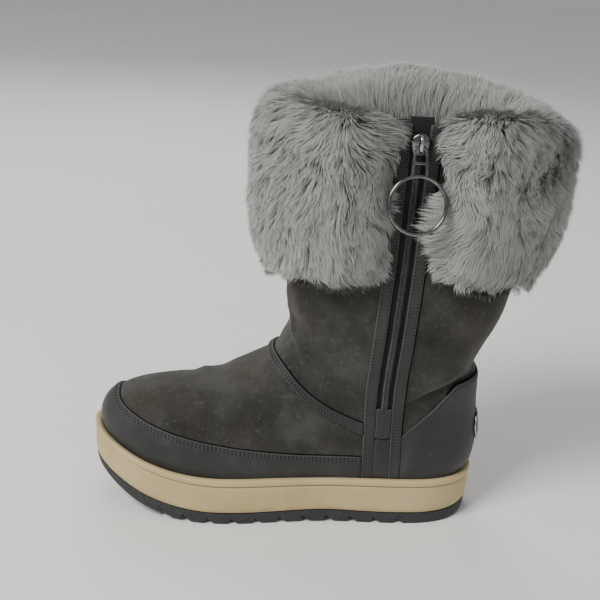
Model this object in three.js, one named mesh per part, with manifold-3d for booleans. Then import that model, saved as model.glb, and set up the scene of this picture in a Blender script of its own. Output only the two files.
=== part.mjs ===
// Left snow boot: a lugged outsole, a cream cupsole, a hollow leather upper with raised panels,
// a fold-over fur cuff and a zip on the outer side. Millimetres, +Z up, toe towards -X,
// the outer side with the zip towards -Y. The origin is under the middle of the whole boot, on the floor.
import * as THREE from "three";
import { mergeVertices } from "three/addons/utils/BufferGeometryUtils.js";
import Module from "manifold-3d";

const wasm = await Module();
wasm.setup();

// Sole
const SOLE_LENGTH = 284;
const BALL_WIDTH = 101.4;
const HEEL_WIDTH = 78.5;
const TREAD_DEPTH = 8.9; // black rubber under the cream cupsole
const CUPSOLE_HEIGHT = 27.3; // cream wall, at the heel and the ball
const TOE_SPRING = 22.9; // lift of the cream wall's lower edge at the toe
const TOE_WALL_LOSS = 3.5; // how much lower the cream wall is at the toe
const ARCH_LIFT = 1.5;
const HEEL_ROLL = 2.9;
const TRAY_DEPTH = 13.5; // how deep the upper stands in the cupsole
const INSOLE_THICKNESS = 5;
const LUG_PITCH = 17.4;
const LUG_DEPTH = 4.2;
const LUG_COUNT = 11;
const FIRST_NOTCH = 0.8215; // share of the length from the heel
const LUG_STEEP = 1.6; // run of a lug's steep side
const LUG_SLOPE = 7.5; // run of the whole notch, its long side included
const CHANNEL_WIDTH = 5; // lengthwise channel in the tread
const OUTSOLE_INSET = 1.2;

// Upper
const INSTEP_HEIGHT = 121; // floor to the front of the ankle
const COLLAR_HEIGHT = 298; // floor to the leather's top edge
const ANKLE_WIDTH = 82;
const SHAFT_WIDTH = 94;
const WALL = 2.6; // leather and lining together
const OVERLAY = 1.4; // thickness of a panel sewn onto the upper

// Zip
const ZIP_OPENING = 11.4; // between the two leather strips
const SLOT_MARGIN = 2.2; // how far the slot runs under each strip
const STRIP_WIDTH = 8.3;
const TAPE_END = 4; // tape above the collar
const CHAIN_WIDTH = 5.6;
const CHAIN_RISE = 1.9;
const TAB_TOP = 0.77; // shares of the instep height
const TAB_BOTTOM = 0.575;
const SLIDER_DROP = 13; // from the leather's top edge down to the slider's middle
const SLIDER_WIDTH = 13.2;
const SLIDER_LENGTH = 14.5;
const SLIDER_THICKNESS = 3.4;
const BRIDGE_RISE = 4.2;
const BRIDGE_BAR = 1.4;
const BRIDGE_WIDTH = 2.8;
const PULL_DROP = 2; // from the slider's middle down to the pull's axis
const PULL_NECK = 17.5;
const PULL_WIDTH = 9.4;
const PULL_ROD = 0.85;
const RING_RADIUS = 18.3;
const RING_ROD = 1.3;
const PULL_TILT = 15; // degrees, the ring leans out on the fur

// Fur cuff
const FUR_DEPTH = 31;
const LOCK_LENGTH = 25;
const LOCK_RADIUS = 8.5;
const LIP_DROP = 26; // how far the fur reaches down inside the collar
const LOCKS_PER_ROW = 12;

// Heel badge
const BADGE_WIDTH = 30;
const BADGE_HEIGHT = 22;
const BADGE_THICKNESS = 1.2;
const BADGE_MIDDLE = 0.57; // share of the instep height

// Clearance between pieces that touch
const GAP = 0.3;

const HALF_LENGTH = SOLE_LENGTH / 2;
const RIM_HEIGHT = TREAD_DEPTH + CUPSOLE_HEIGHT;
const SLIDER_HEIGHT = COLLAR_HEIGHT - SLIDER_DROP;
const RIM_SHARE = 0.2992; // the cupsole's rim on the scale of heights that has the instep at 1
const TOE_RIM = RIM_HEIGHT + TOE_SPRING - TOE_WALL_LOSS;
const TOE_SHARE = 0.4595; // the same at the toe
const LAY = GAP + 0.2; // from the upper's face to the back of a panel
const FEATHER = LAY + OVERLAY + GAP + 0.05; // from the upper's face to the wall of the cupsole's tray
const UPPER_COLUMNS = 40;
const SOLE_COLUMNS = 48;
const BALL = BALL_WIDTH / 2;
const HEEL = HEEL_WIDTH / 2;

// Sole outline from the toe tip to the back of the heel. along: share of the sole's length from the heel;
// ball and heel: shares of half the ball width and half the heel width that add up to the half width;
// centre: how far the middle line lies towards the inner side, as a share of half the ball width.
const OUTLINE = [
  { along: 1.0, ball: 0, heel: 0, centre: 0.19 },
  { along: 0.987, ball: 0.29, heel: 0, centre: 0.168 },
  { along: 0.959, ball: 0.51, heel: 0, centre: 0.15 },
  { along: 0.915, ball: 0.709, heel: 0, centre: 0.124 },
  { along: 0.863, ball: 0.864, heel: 0, centre: 0.095 },
  { along: 0.792, ball: 0.972, heel: 0, centre: 0.065 },
  { along: 0.711, ball: 1.0, heel: 0, centre: 0.028 },
  { along: 0.62, ball: 0.963, heel: 0, centre: 0.002 },
  { along: 0.511, ball: 0.432, heel: 0.558, centre: -0.018 },
  { along: 0.391, ball: 0, heel: 1.01, centre: -0.03 },
  { along: 0.282, ball: 0, heel: 1.0, centre: -0.016 },
  { along: 0.19, ball: 0, heel: 1.0, centre: -0.004 },
  { along: 0.12, ball: 0, heel: 0.948, centre: 0 },
  { along: 0.06, ball: 0, heel: 0.777, centre: 0 },
  { along: 0.018, ball: 0, heel: 0.459, centre: 0 },
  { along: 0, ball: 0, heel: 0, centre: 0 },
];

// Rings of the upper around the foot, from the sole up to the ankle. front and back: where the ring meets
// the middle plane, as shares of the sole's length from the heel; frontUp and backUp: their heights, 1 at
// the instep and RIM_SHARE or TOE_SHARE at the rim; sole: share of the sole outline's width; form: 0 has the
// sole's outline, 1 is an oval; oval: half width of that oval as a share of half the ankle width; at: its
// widest place, from the back.
const FOOT_RINGS = [
  { front: 0.974, frontUp: 0.332, back: 0.021, backUp: 0.188, sole: 0.885, form: 0, oval: 0.93, at: 0.2 },
  { front: 0.976, frontUp: 0.444, back: 0.018, backUp: 0.3, sole: 0.89, form: 0, oval: 0.93, at: 0.2 },
  { front: 0.98, frontUp: 0.5, back: 0.007, backUp: 0.345, sole: 0.915, form: 0.03, oval: 0.94, at: 0.2 },
  { front: 0.975, frontUp: 0.56, back: 0.002, backUp: 0.41, sole: 0.925, form: 0.1, oval: 0.95, at: 0.2 },
  { front: 0.962, frontUp: 0.617, back: 0, backUp: 0.475, sole: 0.9, form: 0.2, oval: 0.95, at: 0.2 },
  { front: 0.942, frontUp: 0.664, back: 0.001, backUp: 0.54, sole: 0.86, form: 0.32, oval: 0.95, at: 0.21 },
  { front: 0.91, frontUp: 0.704, back: 0.004, backUp: 0.597, sole: 0.81, form: 0.45, oval: 0.95, at: 0.22 },
  { front: 0.868, frontUp: 0.733, back: 0.007, backUp: 0.653, sole: 0.75, form: 0.58, oval: 0.96, at: 0.24 },
  { front: 0.81, frontUp: 0.754, back: 0.011, backUp: 0.71, sole: 0.67, form: 0.7, oval: 0.97, at: 0.27 },
  { front: 0.739, frontUp: 0.785, back: 0.014, backUp: 0.762, sole: 0.6, form: 0.8, oval: 0.98, at: 0.31 },
  { front: 0.676, frontUp: 0.828, back: 0.015, backUp: 0.81, sole: 0.56, form: 0.88, oval: 0.99, at: 0.36 },
  { front: 0.616, frontUp: 0.9, back: 0.016, backUp: 0.86, sole: 0.55, form: 0.94, oval: 1.0, at: 0.4 },
  { front: 0.57, frontUp: 0.959, back: 0.017, backUp: 0.909, sole: 0.55, form: 0.97, oval: 1.02, at: 0.44 },
];

// Rings of the shaft above the ankle. front and back as above; frontUp and backUp: shares of the way from
// the instep to the collar; across: half width as a share of half the shaft width.
const SHAFT_RINGS = [
  { front: 0.54, frontUp: 0.011, back: 0.022, backUp: -0.025, across: 0.91 },
  { front: 0.523, frontUp: 0.056, back: 0.028, backUp: 0.006, across: 0.92 },
  { front: 0.508, frontUp: 0.113, back: 0.021, backUp: 0.045, across: 0.95 },
  { front: 0.509, frontUp: 0.169, back: 0.006, backUp: 0.102, across: 0.98 },
  { front: 0.52, frontUp: 0.22, back: -0.014, backUp: 0.164, across: 0.99 },
  { front: 0.525, frontUp: 0.277, back: -0.033, backUp: 0.266, across: 1.0 },
  { front: 0.53, frontUp: 0.44, back: -0.05, backUp: 0.44, across: 1.0 },
  { front: 0.532, frontUp: 0.63, back: -0.052, backUp: 0.63, across: 1.0 },
  { front: 0.53, frontUp: 0.82, back: -0.042, backUp: 0.82, across: 1.0 },
  { front: 0.527, frontUp: 1.0, back: -0.028, backUp: 1.0, across: 1.0 },
];
const SHAFT_MIDDLE = 0.5; // the widest place of a shaft ring
const OVAL_FULLNESS = 2.35; // 2 is an ellipse, more is squarer

// Height for a share: below the cupsole's rim it keeps its place in the cupsole, above it follows the instep.
const footHeight = (up, rim = RIM_HEIGHT, share = RIM_SHARE) =>
  up < share ? (rim * up) / share : rim + ((INSTEP_HEIGHT - rim) * (up - share)) / (1 - share);

const RINGS = [
  ...FOOT_RINGS.map((r) => ({
    front: alongToX(r.front),
    back: alongToX(r.back),
    frontZ: footHeight(r.frontUp, TOE_RIM, TOE_SHARE),
    backZ: footHeight(r.backUp),
    girth: r.sole,
    form: r.form,
    half: (r.oval * ANKLE_WIDTH) / 2,
    widest: r.at,
  })),
  ...SHAFT_RINGS.map((r) => ({
    front: alongToX(r.front),
    back: alongToX(r.back),
    frontZ: INSTEP_HEIGHT + r.frontUp * (COLLAR_HEIGHT - INSTEP_HEIGHT),
    backZ: INSTEP_HEIGHT + r.backUp * (COLLAR_HEIGHT - INSTEP_HEIGHT),
    girth: 0.55,
    form: 1,
    half: (r.across * SHAFT_WIDTH) / 2,
    widest: SHAFT_MIDDLE,
  })),
];
const TOP_RING = RINGS.length - 1;

const clamp = THREE.MathUtils.clamp;
const lerp = THREE.MathUtils.lerp;

function alongToX(share) {
  return HALF_LENGTH - share * SOLE_LENGTH;
}

function xToAlong(x) {
  return (HALF_LENGTH - x) / SOLE_LENGTH;
}

// How far x is along the rising toe, 0 behind the ball and 1 at the tip.
function toeShare(x) {
  return clamp((xToAlong(x) - 0.651) / 0.349, 0, 1);
}

// Lower edge of the cream wall: level at ball and heel, lifted at the toe, the arch and the back.
function creamBottom(x) {
  const along = xToAlong(x);
  const arch = Math.max(0, 1 - ((along - 0.405) / 0.158) ** 2) ** 2;
  const roll = clamp((0.169 - along) / 0.169, 0, 1) ** 2;
  return TREAD_DEPTH + TOE_SPRING * toeShare(x) ** 2 + ARCH_LIFT * arch + HEEL_ROLL * roll;
}

// Upper edge of the cream wall.
function rimTop(x) {
  return RIM_HEIGHT + (TOE_SPRING - TOE_WALL_LOSS) * toeShare(x) ** 2;
}

const outlineLoop = new THREE.CatmullRomCurve3(
  [
    ...OUTLINE.map((r) => outlineCorner(r, -1)),
    ...OUTLINE.slice(1, -1).reverse().map((r) => outlineCorner(r, 1)),
  ],
  true,
  "centripetal",
);

function outlineCorner(row, side) {
  const half = row.ball * BALL + row.heel * HEEL;
  return new THREE.Vector3(alongToX(row.along), row.centre * BALL + side * half, 0);
}

// Point of the sole outline. turn runs from 0 at the toe tip to -1 or 1 at the heel, by the outer side (-)
// or the inner side (+). inset moves it inwards.
function outlineAt(turn, inset = 0) {
  const t = (((turn <= 0 ? -turn : 2 - turn) / 2) % 1 + 1) % 1;
  const p = outlineLoop.getPoint(t);
  if (inset === 0) return p;
  const tangent = outlineLoop.getTangent(t);
  return p.add(new THREE.Vector3(tangent.y, -tangent.x, 0).multiplyScalar(-inset));
}

// A value of the rings' table between its rows, on a smooth curve.
function ringValue(key, s) {
  const k = clamp(Math.floor(s), 0, TOP_RING - 1);
  const at = (n) => RINGS[clamp(n, 0, TOP_RING)][key];
  const f = s - k;
  const before = at(k - 1);
  const from = at(k);
  const to = at(k + 1);
  const after = at(k + 2);
  const bend = 2 * before - 5 * from + 4 * to - after;
  const twist = 3 * (from - to) + after - before;
  return 0.5 * (2 * from + (to - before) * f + bend * f * f + twist * f * f * f);
}

// Outer face of the upper, without offset. turn as on the outline, s counts rings up from the sole.
function upperBase(turn, s) {
  const wrapped = turn > 1 ? turn - 2 : turn < -1 ? turn + 2 : turn;
  const side = wrapped < 0 ? -1 : 1;
  const front = ringValue("front", s);
  const back = ringValue("back", s);
  const form = ringValue("form", s);
  const sole = outlineAt(wrapped);
  const soleX = lerp(back, front, xToAlong(sole.x));
  const soleY = sole.y * ringValue("girth", s);
  const angle = Math.PI * Math.abs(wrapped);
  const middle = lerp(back, front, ringValue("widest", s));
  const reach = (Math.cos(angle) > 0 ? front : back) - middle;
  const power = 2 / OVAL_FULLNESS;
  const ovalX = middle + reach * Math.abs(Math.cos(angle)) ** power;
  const ovalY = side * ringValue("half", s) * Math.abs(Math.sin(angle)) ** power;
  const x = lerp(soleX, ovalX, form);
  const y = lerp(soleY, ovalY, form);
  const share = (x - back) / (front - back);
  const level = lerp(ringValue("backZ", s), ringValue("frontZ", s), share);
  const spring = rimTop(x) - lerp(rimTop(back), rimTop(front), share);
  return new THREE.Vector3(x, y, level + (1 - form) * spring);
}

// Point of the upper moved out of its face by offset, or into it where that is negative.
function upperAt(turn, s, offset = 0) {
  const p = upperBase(turn, s);
  if (offset === 0) return p;
  const step = 0.02;
  const low = Math.max(s - 0.25, 0);
  const high = Math.min(s + 0.25, TOP_RING);
  const around = upperBase(turn + step, s).sub(upperBase(turn - step, s));
  const up = upperBase(turn, high).sub(upperBase(turn, low));
  return p.add(up.cross(around).normalize().multiplyScalar(offset));
}

// Turn at which a ring passes x, on the outer side (side -1) or the inner side (side 1).
function turnAtX(x, s, side) {
  let [near, far] = [0, 1];
  for (let n = 0; n < 24; n += 1) {
    const middle = (near + far) / 2;
    if (upperBase(side * middle, s).x < x) near = middle;
    else far = middle;
  }
  return side * near;
}

// Ring count at which the meridian at a turn reaches a height, which may depend on x.
function stepAtHeight(turn, height) {
  let [low, high] = [0, TOP_RING];
  for (let n = 0; n < 24; n += 1) {
    const middle = (low + high) / 2;
    const p = upperBase(turn, middle);
    if (p.z < height(p.x)) low = middle;
    else high = middle;
  }
  return low;
}

// Point on the outer or inner side at x and z, moved out by offset. Above the collar it goes straight up.
function sideAt(x, z, side, offset) {
  let turn = side / 2;
  let s = 0;
  for (let n = 0; n < 4; n += 1) {
    s = stepAtHeight(turn, () => z);
    turn = turnAtX(x, s, side);
  }
  const p = upperAt(turn, s, offset);
  return z > COLLAR_HEIGHT ? p.setZ(z) : p;
}

// Value of a table at a place: rows with the columns at and value, in rising order of at.
function tableValue(rows, at) {
  const last = rows.length - 1;
  if (at <= rows[0].at) return rows[0].value;
  if (at >= rows[last].at) return rows[last].value;
  const n = rows.findIndex((row) => row.at > at);
  const share = (at - rows[n - 1].at) / (rows[n].at - rows[n - 1].at);
  return lerp(rows[n - 1].value, rows[n].value, share);
}

// Closed body from points and faces, turned so that its faces point out.
function body(points, faces) {
  let volume = 0;
  for (const [a, b, c] of faces) {
    volume += points[a].dot(new THREE.Vector3().crossVectors(points[b], points[c]));
  }
  const index = faces.flatMap(([a, b, c]) => (volume > 0 ? [a, b, c] : [a, c, b]));
  const geometry = new THREE.BufferGeometry();
  geometry.setAttribute("position", new THREE.Float32BufferAttribute(points.flatMap((p) => p.toArray()), 3));
  geometry.setIndex(index);
  return geometry;
}

// Body between rings that start at the toe and are closed at both ends by strips across the foot.
function loft(rings) {
  const count = rings[0].length;
  const faces = [];
  for (let r = 0; r < rings.length - 1; r += 1) {
    for (let i = 0; i < count; i += 1) {
      const j = (i + 1) % count;
      const [a, b, c, d] = [r * count + i, r * count + j, (r + 1) * count + j, (r + 1) * count + i];
      faces.push([a, b, c], [a, c, d]);
    }
  }
  const top = (rings.length - 1) * count;
  for (let i = 0; i < count / 2; i += 1) {
    const strip = [i, i + 1, (count - i - 1) % count, (count - i) % count];
    for (const corners of [[0, 1, 2], [0, 2, 3]]) {
      const [a, b, c] = corners.map((n) => strip[n]);
      if (new Set([a, b, c]).size < 3) continue;
      faces.push([a, c, b], [top + a, top + b, top + c]);
    }
  }
  return body(rings.flat(), faces);
}

// Wall between an outer and an inner grid of points, both as rows of columns. Cells for which
// open(row, column) is true are left out, and every free edge is closed. A wrapped grid joins its last
// column to its first.
function shell(outer, inner, wrapped, open = () => false) {
  const rows = outer.length;
  const columns = outer[0].length;
  const cells = wrapped ? columns : columns - 1;
  const skin = (r, i) => r * columns + (i % columns);
  const lining = (r, i) => rows * columns + skin(r, i);
  const present = (r, i) => {
    if (r < 0 || r >= rows - 1) return false;
    if (!wrapped && (i < 0 || i >= cells)) return false;
    return !open(r, (i + cells) % cells);
  };
  const faces = [];
  const quad = (a, b, c, d) => faces.push([a, b, c], [a, c, d]);
  for (let r = 0; r < rows - 1; r += 1) {
    for (let i = 0; i < cells; i += 1) {
      if (!present(r, i)) continue;
      const j = i + 1;
      quad(skin(r, i), skin(r, j), skin(r + 1, j), skin(r + 1, i));
      quad(lining(r, j), lining(r, i), lining(r + 1, i), lining(r + 1, j));
      if (!present(r - 1, i)) quad(skin(r, j), skin(r, i), lining(r, i), lining(r, j));
      if (!present(r + 1, i)) quad(skin(r + 1, i), skin(r + 1, j), lining(r + 1, j), lining(r + 1, i));
      if (!present(r, i - 1)) quad(skin(r, i), skin(r + 1, i), lining(r + 1, i), lining(r, i));
      if (!present(r, i + 1)) quad(skin(r + 1, j), skin(r, j), lining(r, j), lining(r + 1, j));
    }
  }
  return body([...outer.flat(), ...inner.flat()], faces);
}

// Solid of the library for joins and cuts, and back to a geometry.
function toSolid(geometry) {
  const bare = new THREE.BufferGeometry();
  bare.setAttribute("position", geometry.getAttribute("position"));
  bare.setIndex(geometry.getIndex());
  const merged = mergeVertices(bare, 1e-4);
  return new wasm.Manifold(
    new wasm.Mesh({
      numProp: 3,
      vertProperties: merged.attributes.position.array,
      triVerts: new Uint32Array(merged.index.array),
    }),
  );
}

function toGeometry(solid) {
  const mesh = solid.getMesh();
  const geometry = new THREE.BufferGeometry();
  geometry.setAttribute("position", new THREE.BufferAttribute(mesh.vertProperties, mesh.numProp));
  geometry.setIndex(new THREE.BufferAttribute(mesh.triVerts, 1));
  return geometry;
}

const join = (...geometries) => toGeometry(geometries.map(toSolid).reduce((all, one) => all.add(one)));

// Turns of the points of a ring: from the toe by the outer side to the heel and back by the inner side.
function turnsOf(count) {
  return Array.from({ length: count }, (unused, i) => {
    const turn = (2 * i) / count;
    return turn <= 1 ? -turn : 2 - turn;
  });
}

const material = (color, roughness, metalness = 0) =>
  new THREE.MeshStandardMaterial({ color, roughness, metalness });
const SUEDE = material(0x4a4844, 0.95);
const NUBUCK = material(0x43454a, 0.7);
const CREAM = material(0xc9b58e, 0.75);
const RUBBER = material(0x2b2c2e, 0.8);
const FUR = material(0xb4b9b8, 1);
const FOAM = material(0x8a8d8e, 0.95);
const TAPE = material(0x141416, 0.85);
const NICKEL = material(0x77787a, 0.25, 1);

const boot = new THREE.Group();

function addPiece(name, geometry, finish, parent = boot) {
  const piece = new THREE.Mesh(geometry, finish);
  piece.name = name;
  parent.add(piece);
  return piece;
}

// Zip line on the outer side, from the sole to the collar. at: height as a share of the collar height;
// value: the line's place as a share of the sole's length from the heel.
const ZIP_LINE = [
  { at: 0.12, value: 0.256 },
  { at: 0.24, value: 0.261 },
  { at: 0.37, value: 0.267 },
  { at: 0.45, value: 0.265 },
  { at: 0.55, value: 0.261 },
  { at: 0.69, value: 0.256 },
  { at: 0.84, value: 0.254 },
  { at: 1.0, value: 0.252 },
];
const zipX = (z) => alongToX(tableValue(ZIP_LINE, z / COLLAR_HEIGHT));
const SLOT_BOTTOM = 6; // the upper's ring where the zip's slot ends

// Columns of the upper at a ring: evenly spread, with two of them moved to the two edges of the zip's slot.
const baseTurns = turnsOf(UPPER_COLUMNS);
const slotHalf = ZIP_OPENING / 2 + SLOT_MARGIN;
const SLOT_COLUMN = baseTurns.findIndex((turn) => upperBase(turn, TOP_RING).x > zipX(COLLAR_HEIGHT)) - 1;

function upperTurns(s) {
  const z = upperBase(baseTurns[SLOT_COLUMN], s).z;
  const edges = [turnAtX(zipX(z) - slotHalf, s, -1), turnAtX(zipX(z) + slotHalf, s, -1)];
  const turns = [...baseTurns];
  for (const [n, side] of [[0, -1], [1, 1]]) {
    const column = SLOT_COLUMN + n;
    const shift = edges[n] - turns[column];
    turns[column] += shift;
    turns[column + side] += shift * 0.66;
    turns[column + 2 * side] += shift * 0.33;
  }
  return turns;
}

// Rings of the upper's faces: all but two that only guide the curve between their neighbours.
const UPPER_RINGS = RINGS.map((unused, s) => s).filter((s) => s !== 7 && s !== 20);
const upperGrid = (offset) => UPPER_RINGS.map((s) => upperTurns(s).map((turn) => upperAt(turn, s, offset)));

// Upper: one wall from the open underside to the collar, slit where the zip closes it.
function makeUpper() {
  const slit = (r, i) => i === SLOT_COLUMN && UPPER_RINGS[r] >= SLOT_BOTTOM;
  return shell(upperGrid(0), upperGrid(-WALL), true, slit);
}

addPiece("upper", makeUpper(), SUEDE);

// Cupsole: the cream tray that the upper stands in. inset: from the sole's outline; up: share of the wall's
// height. A groove runs under its rounded lip.
const WALL_STEPS = [
  { inset: 2.2, up: 0 },
  { inset: 0.6, up: 0.05 },
  { inset: 0.2, up: 0.3 },
  { inset: 0.2, up: 0.78 },
  { inset: 1.1, up: 0.805 },
  { inset: -0.3, up: 0.83 },
  { inset: -0.5, up: 0.92 },
  { inset: 0.6, up: 0.985 },
  { inset: 1.6, up: 1.0 },
];

function makeCupsole() {
  const turns = turnsOf(SOLE_COLUMNS);
  const block = loft(
    WALL_STEPS.map(({ inset, up }) =>
      turns.map((turn) => {
        const p = outlineAt(turn, inset);
        return p.setZ(lerp(creamBottom(p.x), rimTop(p.x), up));
      }),
    ),
  );
  const tray = loft(
    [0, 0.5, 1, 1.5].map((s) =>
      upperTurns(s).map((turn) => {
        const p = upperAt(turn, s, FEATHER);
        return p.setZ(rimTop(p.x) - TRAY_DEPTH * (1 - s) - (s === 0 ? GAP : 0));
      }),
    ),
  );
  return toGeometry(toSolid(block).subtract(toSolid(tray)));
}

addPiece("cupsole", makeCupsole(), CREAM);

// Insole: a foam sheet inside the upper, on the tray's floor.
function makeInsole() {
  const turns = upperTurns(0);
  const ring = (inset, up) =>
    turns.map((turn) => {
      const p = upperAt(turn, 0, -WALL - 2 * GAP - inset);
      return p.setZ(rimTop(p.x) - TRAY_DEPTH + up);
    });
  return loft([
    ring(0, 0),
    ring(0, INSOLE_THICKNESS * 0.7),
    ring(INSOLE_THICKNESS * 0.3, INSOLE_THICKNESS),
  ]);
}

addPiece("insole", makeInsole(), FOAM);

// Underside of the outsole: level with the floor at ball and heel, thinner where it rolls up at the toe.
function treadBottom(x) {
  const rollUp = clamp((xToAlong(x) - 0.83) / 0.17, 0, 1);
  const backRoll = clamp((0.05 - xToAlong(x)) / 0.05, 0, 1);
  const thickness = TREAD_DEPTH * (1 - 0.62 * rollUp ** 2) * (1 - 0.45 * backRoll ** 2);
  return creamBottom(x) - thickness;
}

// Outsole: the sole's outline cut by a side profile with saw-tooth lugs.
function makeOutsole() {
  const plan = new THREE.Shape(
    turnsOf(SOLE_COLUMNS).map((turn) => {
      const p = outlineAt(turn, OUTSOLE_INSET);
      return new THREE.Vector2(p.x, p.y);
    }),
  );
  const tall = TOE_SPRING + 3 * TREAD_DEPTH;
  const block = new THREE.ExtrudeGeometry(plan, { depth: tall, bevelEnabled: false });
  block.translate(0, 0, -TREAD_DEPTH);
  const stations = Array.from({ length: 45 }, (unused, n) => (n / 44 - 0.5) * (SOLE_LENGTH + 2));
  const firstLug = alongToX(FIRST_NOTCH);
  const notches = Array.from({ length: LUG_COUNT }, (unused, n) => firstLug + n * LUG_PITCH);
  const bottom = stations
    .filter((x) => notches.every((notch) => x < notch - 0.7 || x > notch + LUG_SLOPE + 0.7))
    .map((x) => ({ x, z: treadBottom(x) }));
  for (const notch of notches) {
    bottom.push({ x: notch, z: treadBottom(notch) });
    bottom.push({ x: notch + LUG_STEEP, z: treadBottom(notch) + LUG_DEPTH });
    bottom.push({ x: notch + LUG_SLOPE, z: treadBottom(notch + LUG_SLOPE) });
  }
  bottom.sort((p, q) => p.x - q.x);
  const top = stations.toReversed().map((x) => ({ x, z: creamBottom(x) - GAP }));
  const profile = new THREE.Shape([...bottom, ...top].map((p) => new THREE.Vector2(p.x, p.z)));
  const cut = new THREE.ExtrudeGeometry(profile, { depth: BALL_WIDTH * 1.4, bevelEnabled: false });
  cut.rotateX(Math.PI / 2).translate(0, BALL_WIDTH * 0.7, 0);
  const channelTop = LUG_DEPTH - 1;
  const channelEnds = [firstLug + LUG_STEEP, notches[LUG_COUNT - 1]];
  const channelX = stations.filter((x) => x > channelEnds[0] && x < channelEnds[1]);
  const channel = new THREE.ExtrudeGeometry(
    new THREE.Shape([
      ...channelX.map((x) => new THREE.Vector2(x, treadBottom(x) - TREAD_DEPTH)),
      ...channelX.toReversed().map((x) => new THREE.Vector2(x, treadBottom(x) + channelTop)),
    ]),
    { depth: CHANNEL_WIDTH, bevelEnabled: false },
  );
  channel.rotateX(Math.PI / 2).translate(0, CHANNEL_WIDTH / 2, 0);
  return toGeometry(toSolid(block).intersect(toSolid(cut)).subtract(toSolid(channel)));
}

addPiece("outsole", makeOutsole(), RUBBER);

// Panel of leather on the upper, over the given turns, between two edges given as ring counts. A panel that
// starts in the cupsole follows the upper's rings closely where they bulge over its rim.
function panel(turns, lowEdge, highEdge, rows, from, to) {
  const nodes = turns.map((turn) => {
    const [low, high] = [lowEdge(turn), highEdge(turn)];
    const start = low < 1 ? [low, 1, 1.5] : [];
    const base = low < 1 ? 2 : low;
    return [...start, ...Array.from({ length: rows + 1 }, (unused, r) => lerp(base, high, r / rows))];
  });
  const grid = (offset) =>
    nodes[0].map((unused, r) => turns.map((turn, c) => upperAt(turn, nodes[c][r], offset)));
  return shell(grid(to), grid(from), false);
}

// Turns of the upper's columns at a ring, from one turn to another, over the toe (way 0) or heel (way 1).
function turnsBetween(first, last, way, s) {
  const unroll = (turn) => (way === 1 && turn > 0 ? turn - 2 : turn);
  const [a, b] = [unroll(first), unroll(last)];
  const [low, high] = [Math.min(a, b), Math.max(a, b)];
  const inside = upperTurns(s).map(unroll).filter((turn) => turn > low + 0.012 && turn < high - 0.012);
  return [low, ...inside.sort((p, q) => p - q), high];
}

const UNDER_RIM = 0.5; // a panel's lower edge, in rings, hidden in the cupsole
const LOW_RING = 1.5; // ring near the cupsole's rim
const BINDING_RING = 6; // ring near the lower ends of the ankle binding

// Heights of the edges of the panels by place along the boot. at: share of the sole's length from the toe;
// value: height as a share of the instep height.
const GUARD_EDGE = [
  { at: 0.062, value: 0.7 },
  { at: 0.065, value: 0.68 },
  { at: 0.068, value: 0.64 },
  { at: 0.1, value: 0.608 },
  { at: 0.145, value: 0.571 },
  { at: 0.215, value: 0.534 },
  { at: 0.273, value: 0.514 },
  { at: 0.356, value: 0.493 },
  { at: 0.44, value: 0.477 },
  { at: 0.535, value: 0.459 },
  { at: 0.69, value: 0.443 },
];
const BINDING_TOP = [
  { at: 0.454, value: 1.007 },
  { at: 0.464, value: 1.005 },
  { at: 0.484, value: 0.974 },
  { at: 0.507, value: 0.919 },
  { at: 0.538, value: 0.854 },
  { at: 0.567, value: 0.804 },
  { at: 0.603, value: 0.751 },
  { at: 0.64, value: 0.713 },
  { at: 0.681, value: 0.674 },
];
const BINDING_BOTTOM = [
  { at: 0.443, value: 0.984 },
  { at: 0.446, value: 0.975 },
  { at: 0.465, value: 0.947 },
  { at: 0.496, value: 0.886 },
  { at: 0.535, value: 0.793 },
  { at: 0.577, value: 0.722 },
  { at: 0.63, value: 0.653 },
  { at: 0.685, value: 0.593 },
];
const COUNTER_EDGE = [
  { at: 0.69, value: 0.53 },
  { at: 0.796, value: 0.582 },
  { at: 0.815, value: 0.612 },
  { at: 0.845, value: 0.707 },
  { at: 0.868, value: 0.784 },
  { at: 0.89, value: 0.856 },
  { at: 0.913, value: 0.915 },
  { at: 0.957, value: 0.93 },
  { at: 0.985, value: 0.94 },
];
const edgeHeight = (rows) => (x) => footHeight(tableValue(rows, 1 - xToAlong(x)));

const SIDE_SEAM = alongToX(0.312); // where guard and counter meet on the inner side

// Strip that follows the zip between two distances from its line, from one height to another.
function zipPiece(from, to, across, low, high, steps, inner, outer) {
  const heights = Array.from({ length: steps + 1 }, (unused, n) => lerp(low, high, n / steps));
  const grid = (offset) =>
    heights.map((z) =>
      Array.from({ length: across + 1 }, (unused, n) =>
        sideAt(zipX(z) + lerp(from, to, n / across), z, -1, offset),
      ),
    );
  return shell(grid(outer), grid(inner), false);
}

const halfZip = ZIP_OPENING / 2;
const STRIP_STEPS = 26; // cells up a strip
const stripTop = COLLAR_HEIGHT - 1;
const stripBottom = RIM_HEIGHT + GAP;
const tabTop = footHeight(TAB_TOP);
const tabBottom = footHeight(TAB_BOTTOM);
const zipZone = halfZip + STRIP_WIDTH + GAP;

// Space of the zip and its strips, which the panels beside it are cut back from.
const zipSpace = toSolid(
  zipPiece(-zipZone, zipZone, 2, RIM_HEIGHT - TRAY_DEPTH, INSTEP_HEIGHT, 14, -WALL, LAY + OVERLAY + WALL),
);

// The upper's closed outer form, grown by the least gap that a panel keeps to it.
const lastForm = toSolid(loft(upperGrid(GAP / 2)));

function edgedPanel(turns, bottom, top, rows, space = zipSpace) {
  const edge = (rule) => (turn) => (typeof rule === "number" ? rule : stepAtHeight(turn, edgeHeight(rule)));
  const whole = panel(turns, edge(bottom), edge(top), rows, LAY, LAY + OVERLAY);
  return toGeometry(toSolid(whole).subtract(space).subtract(lastForm));
}

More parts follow.
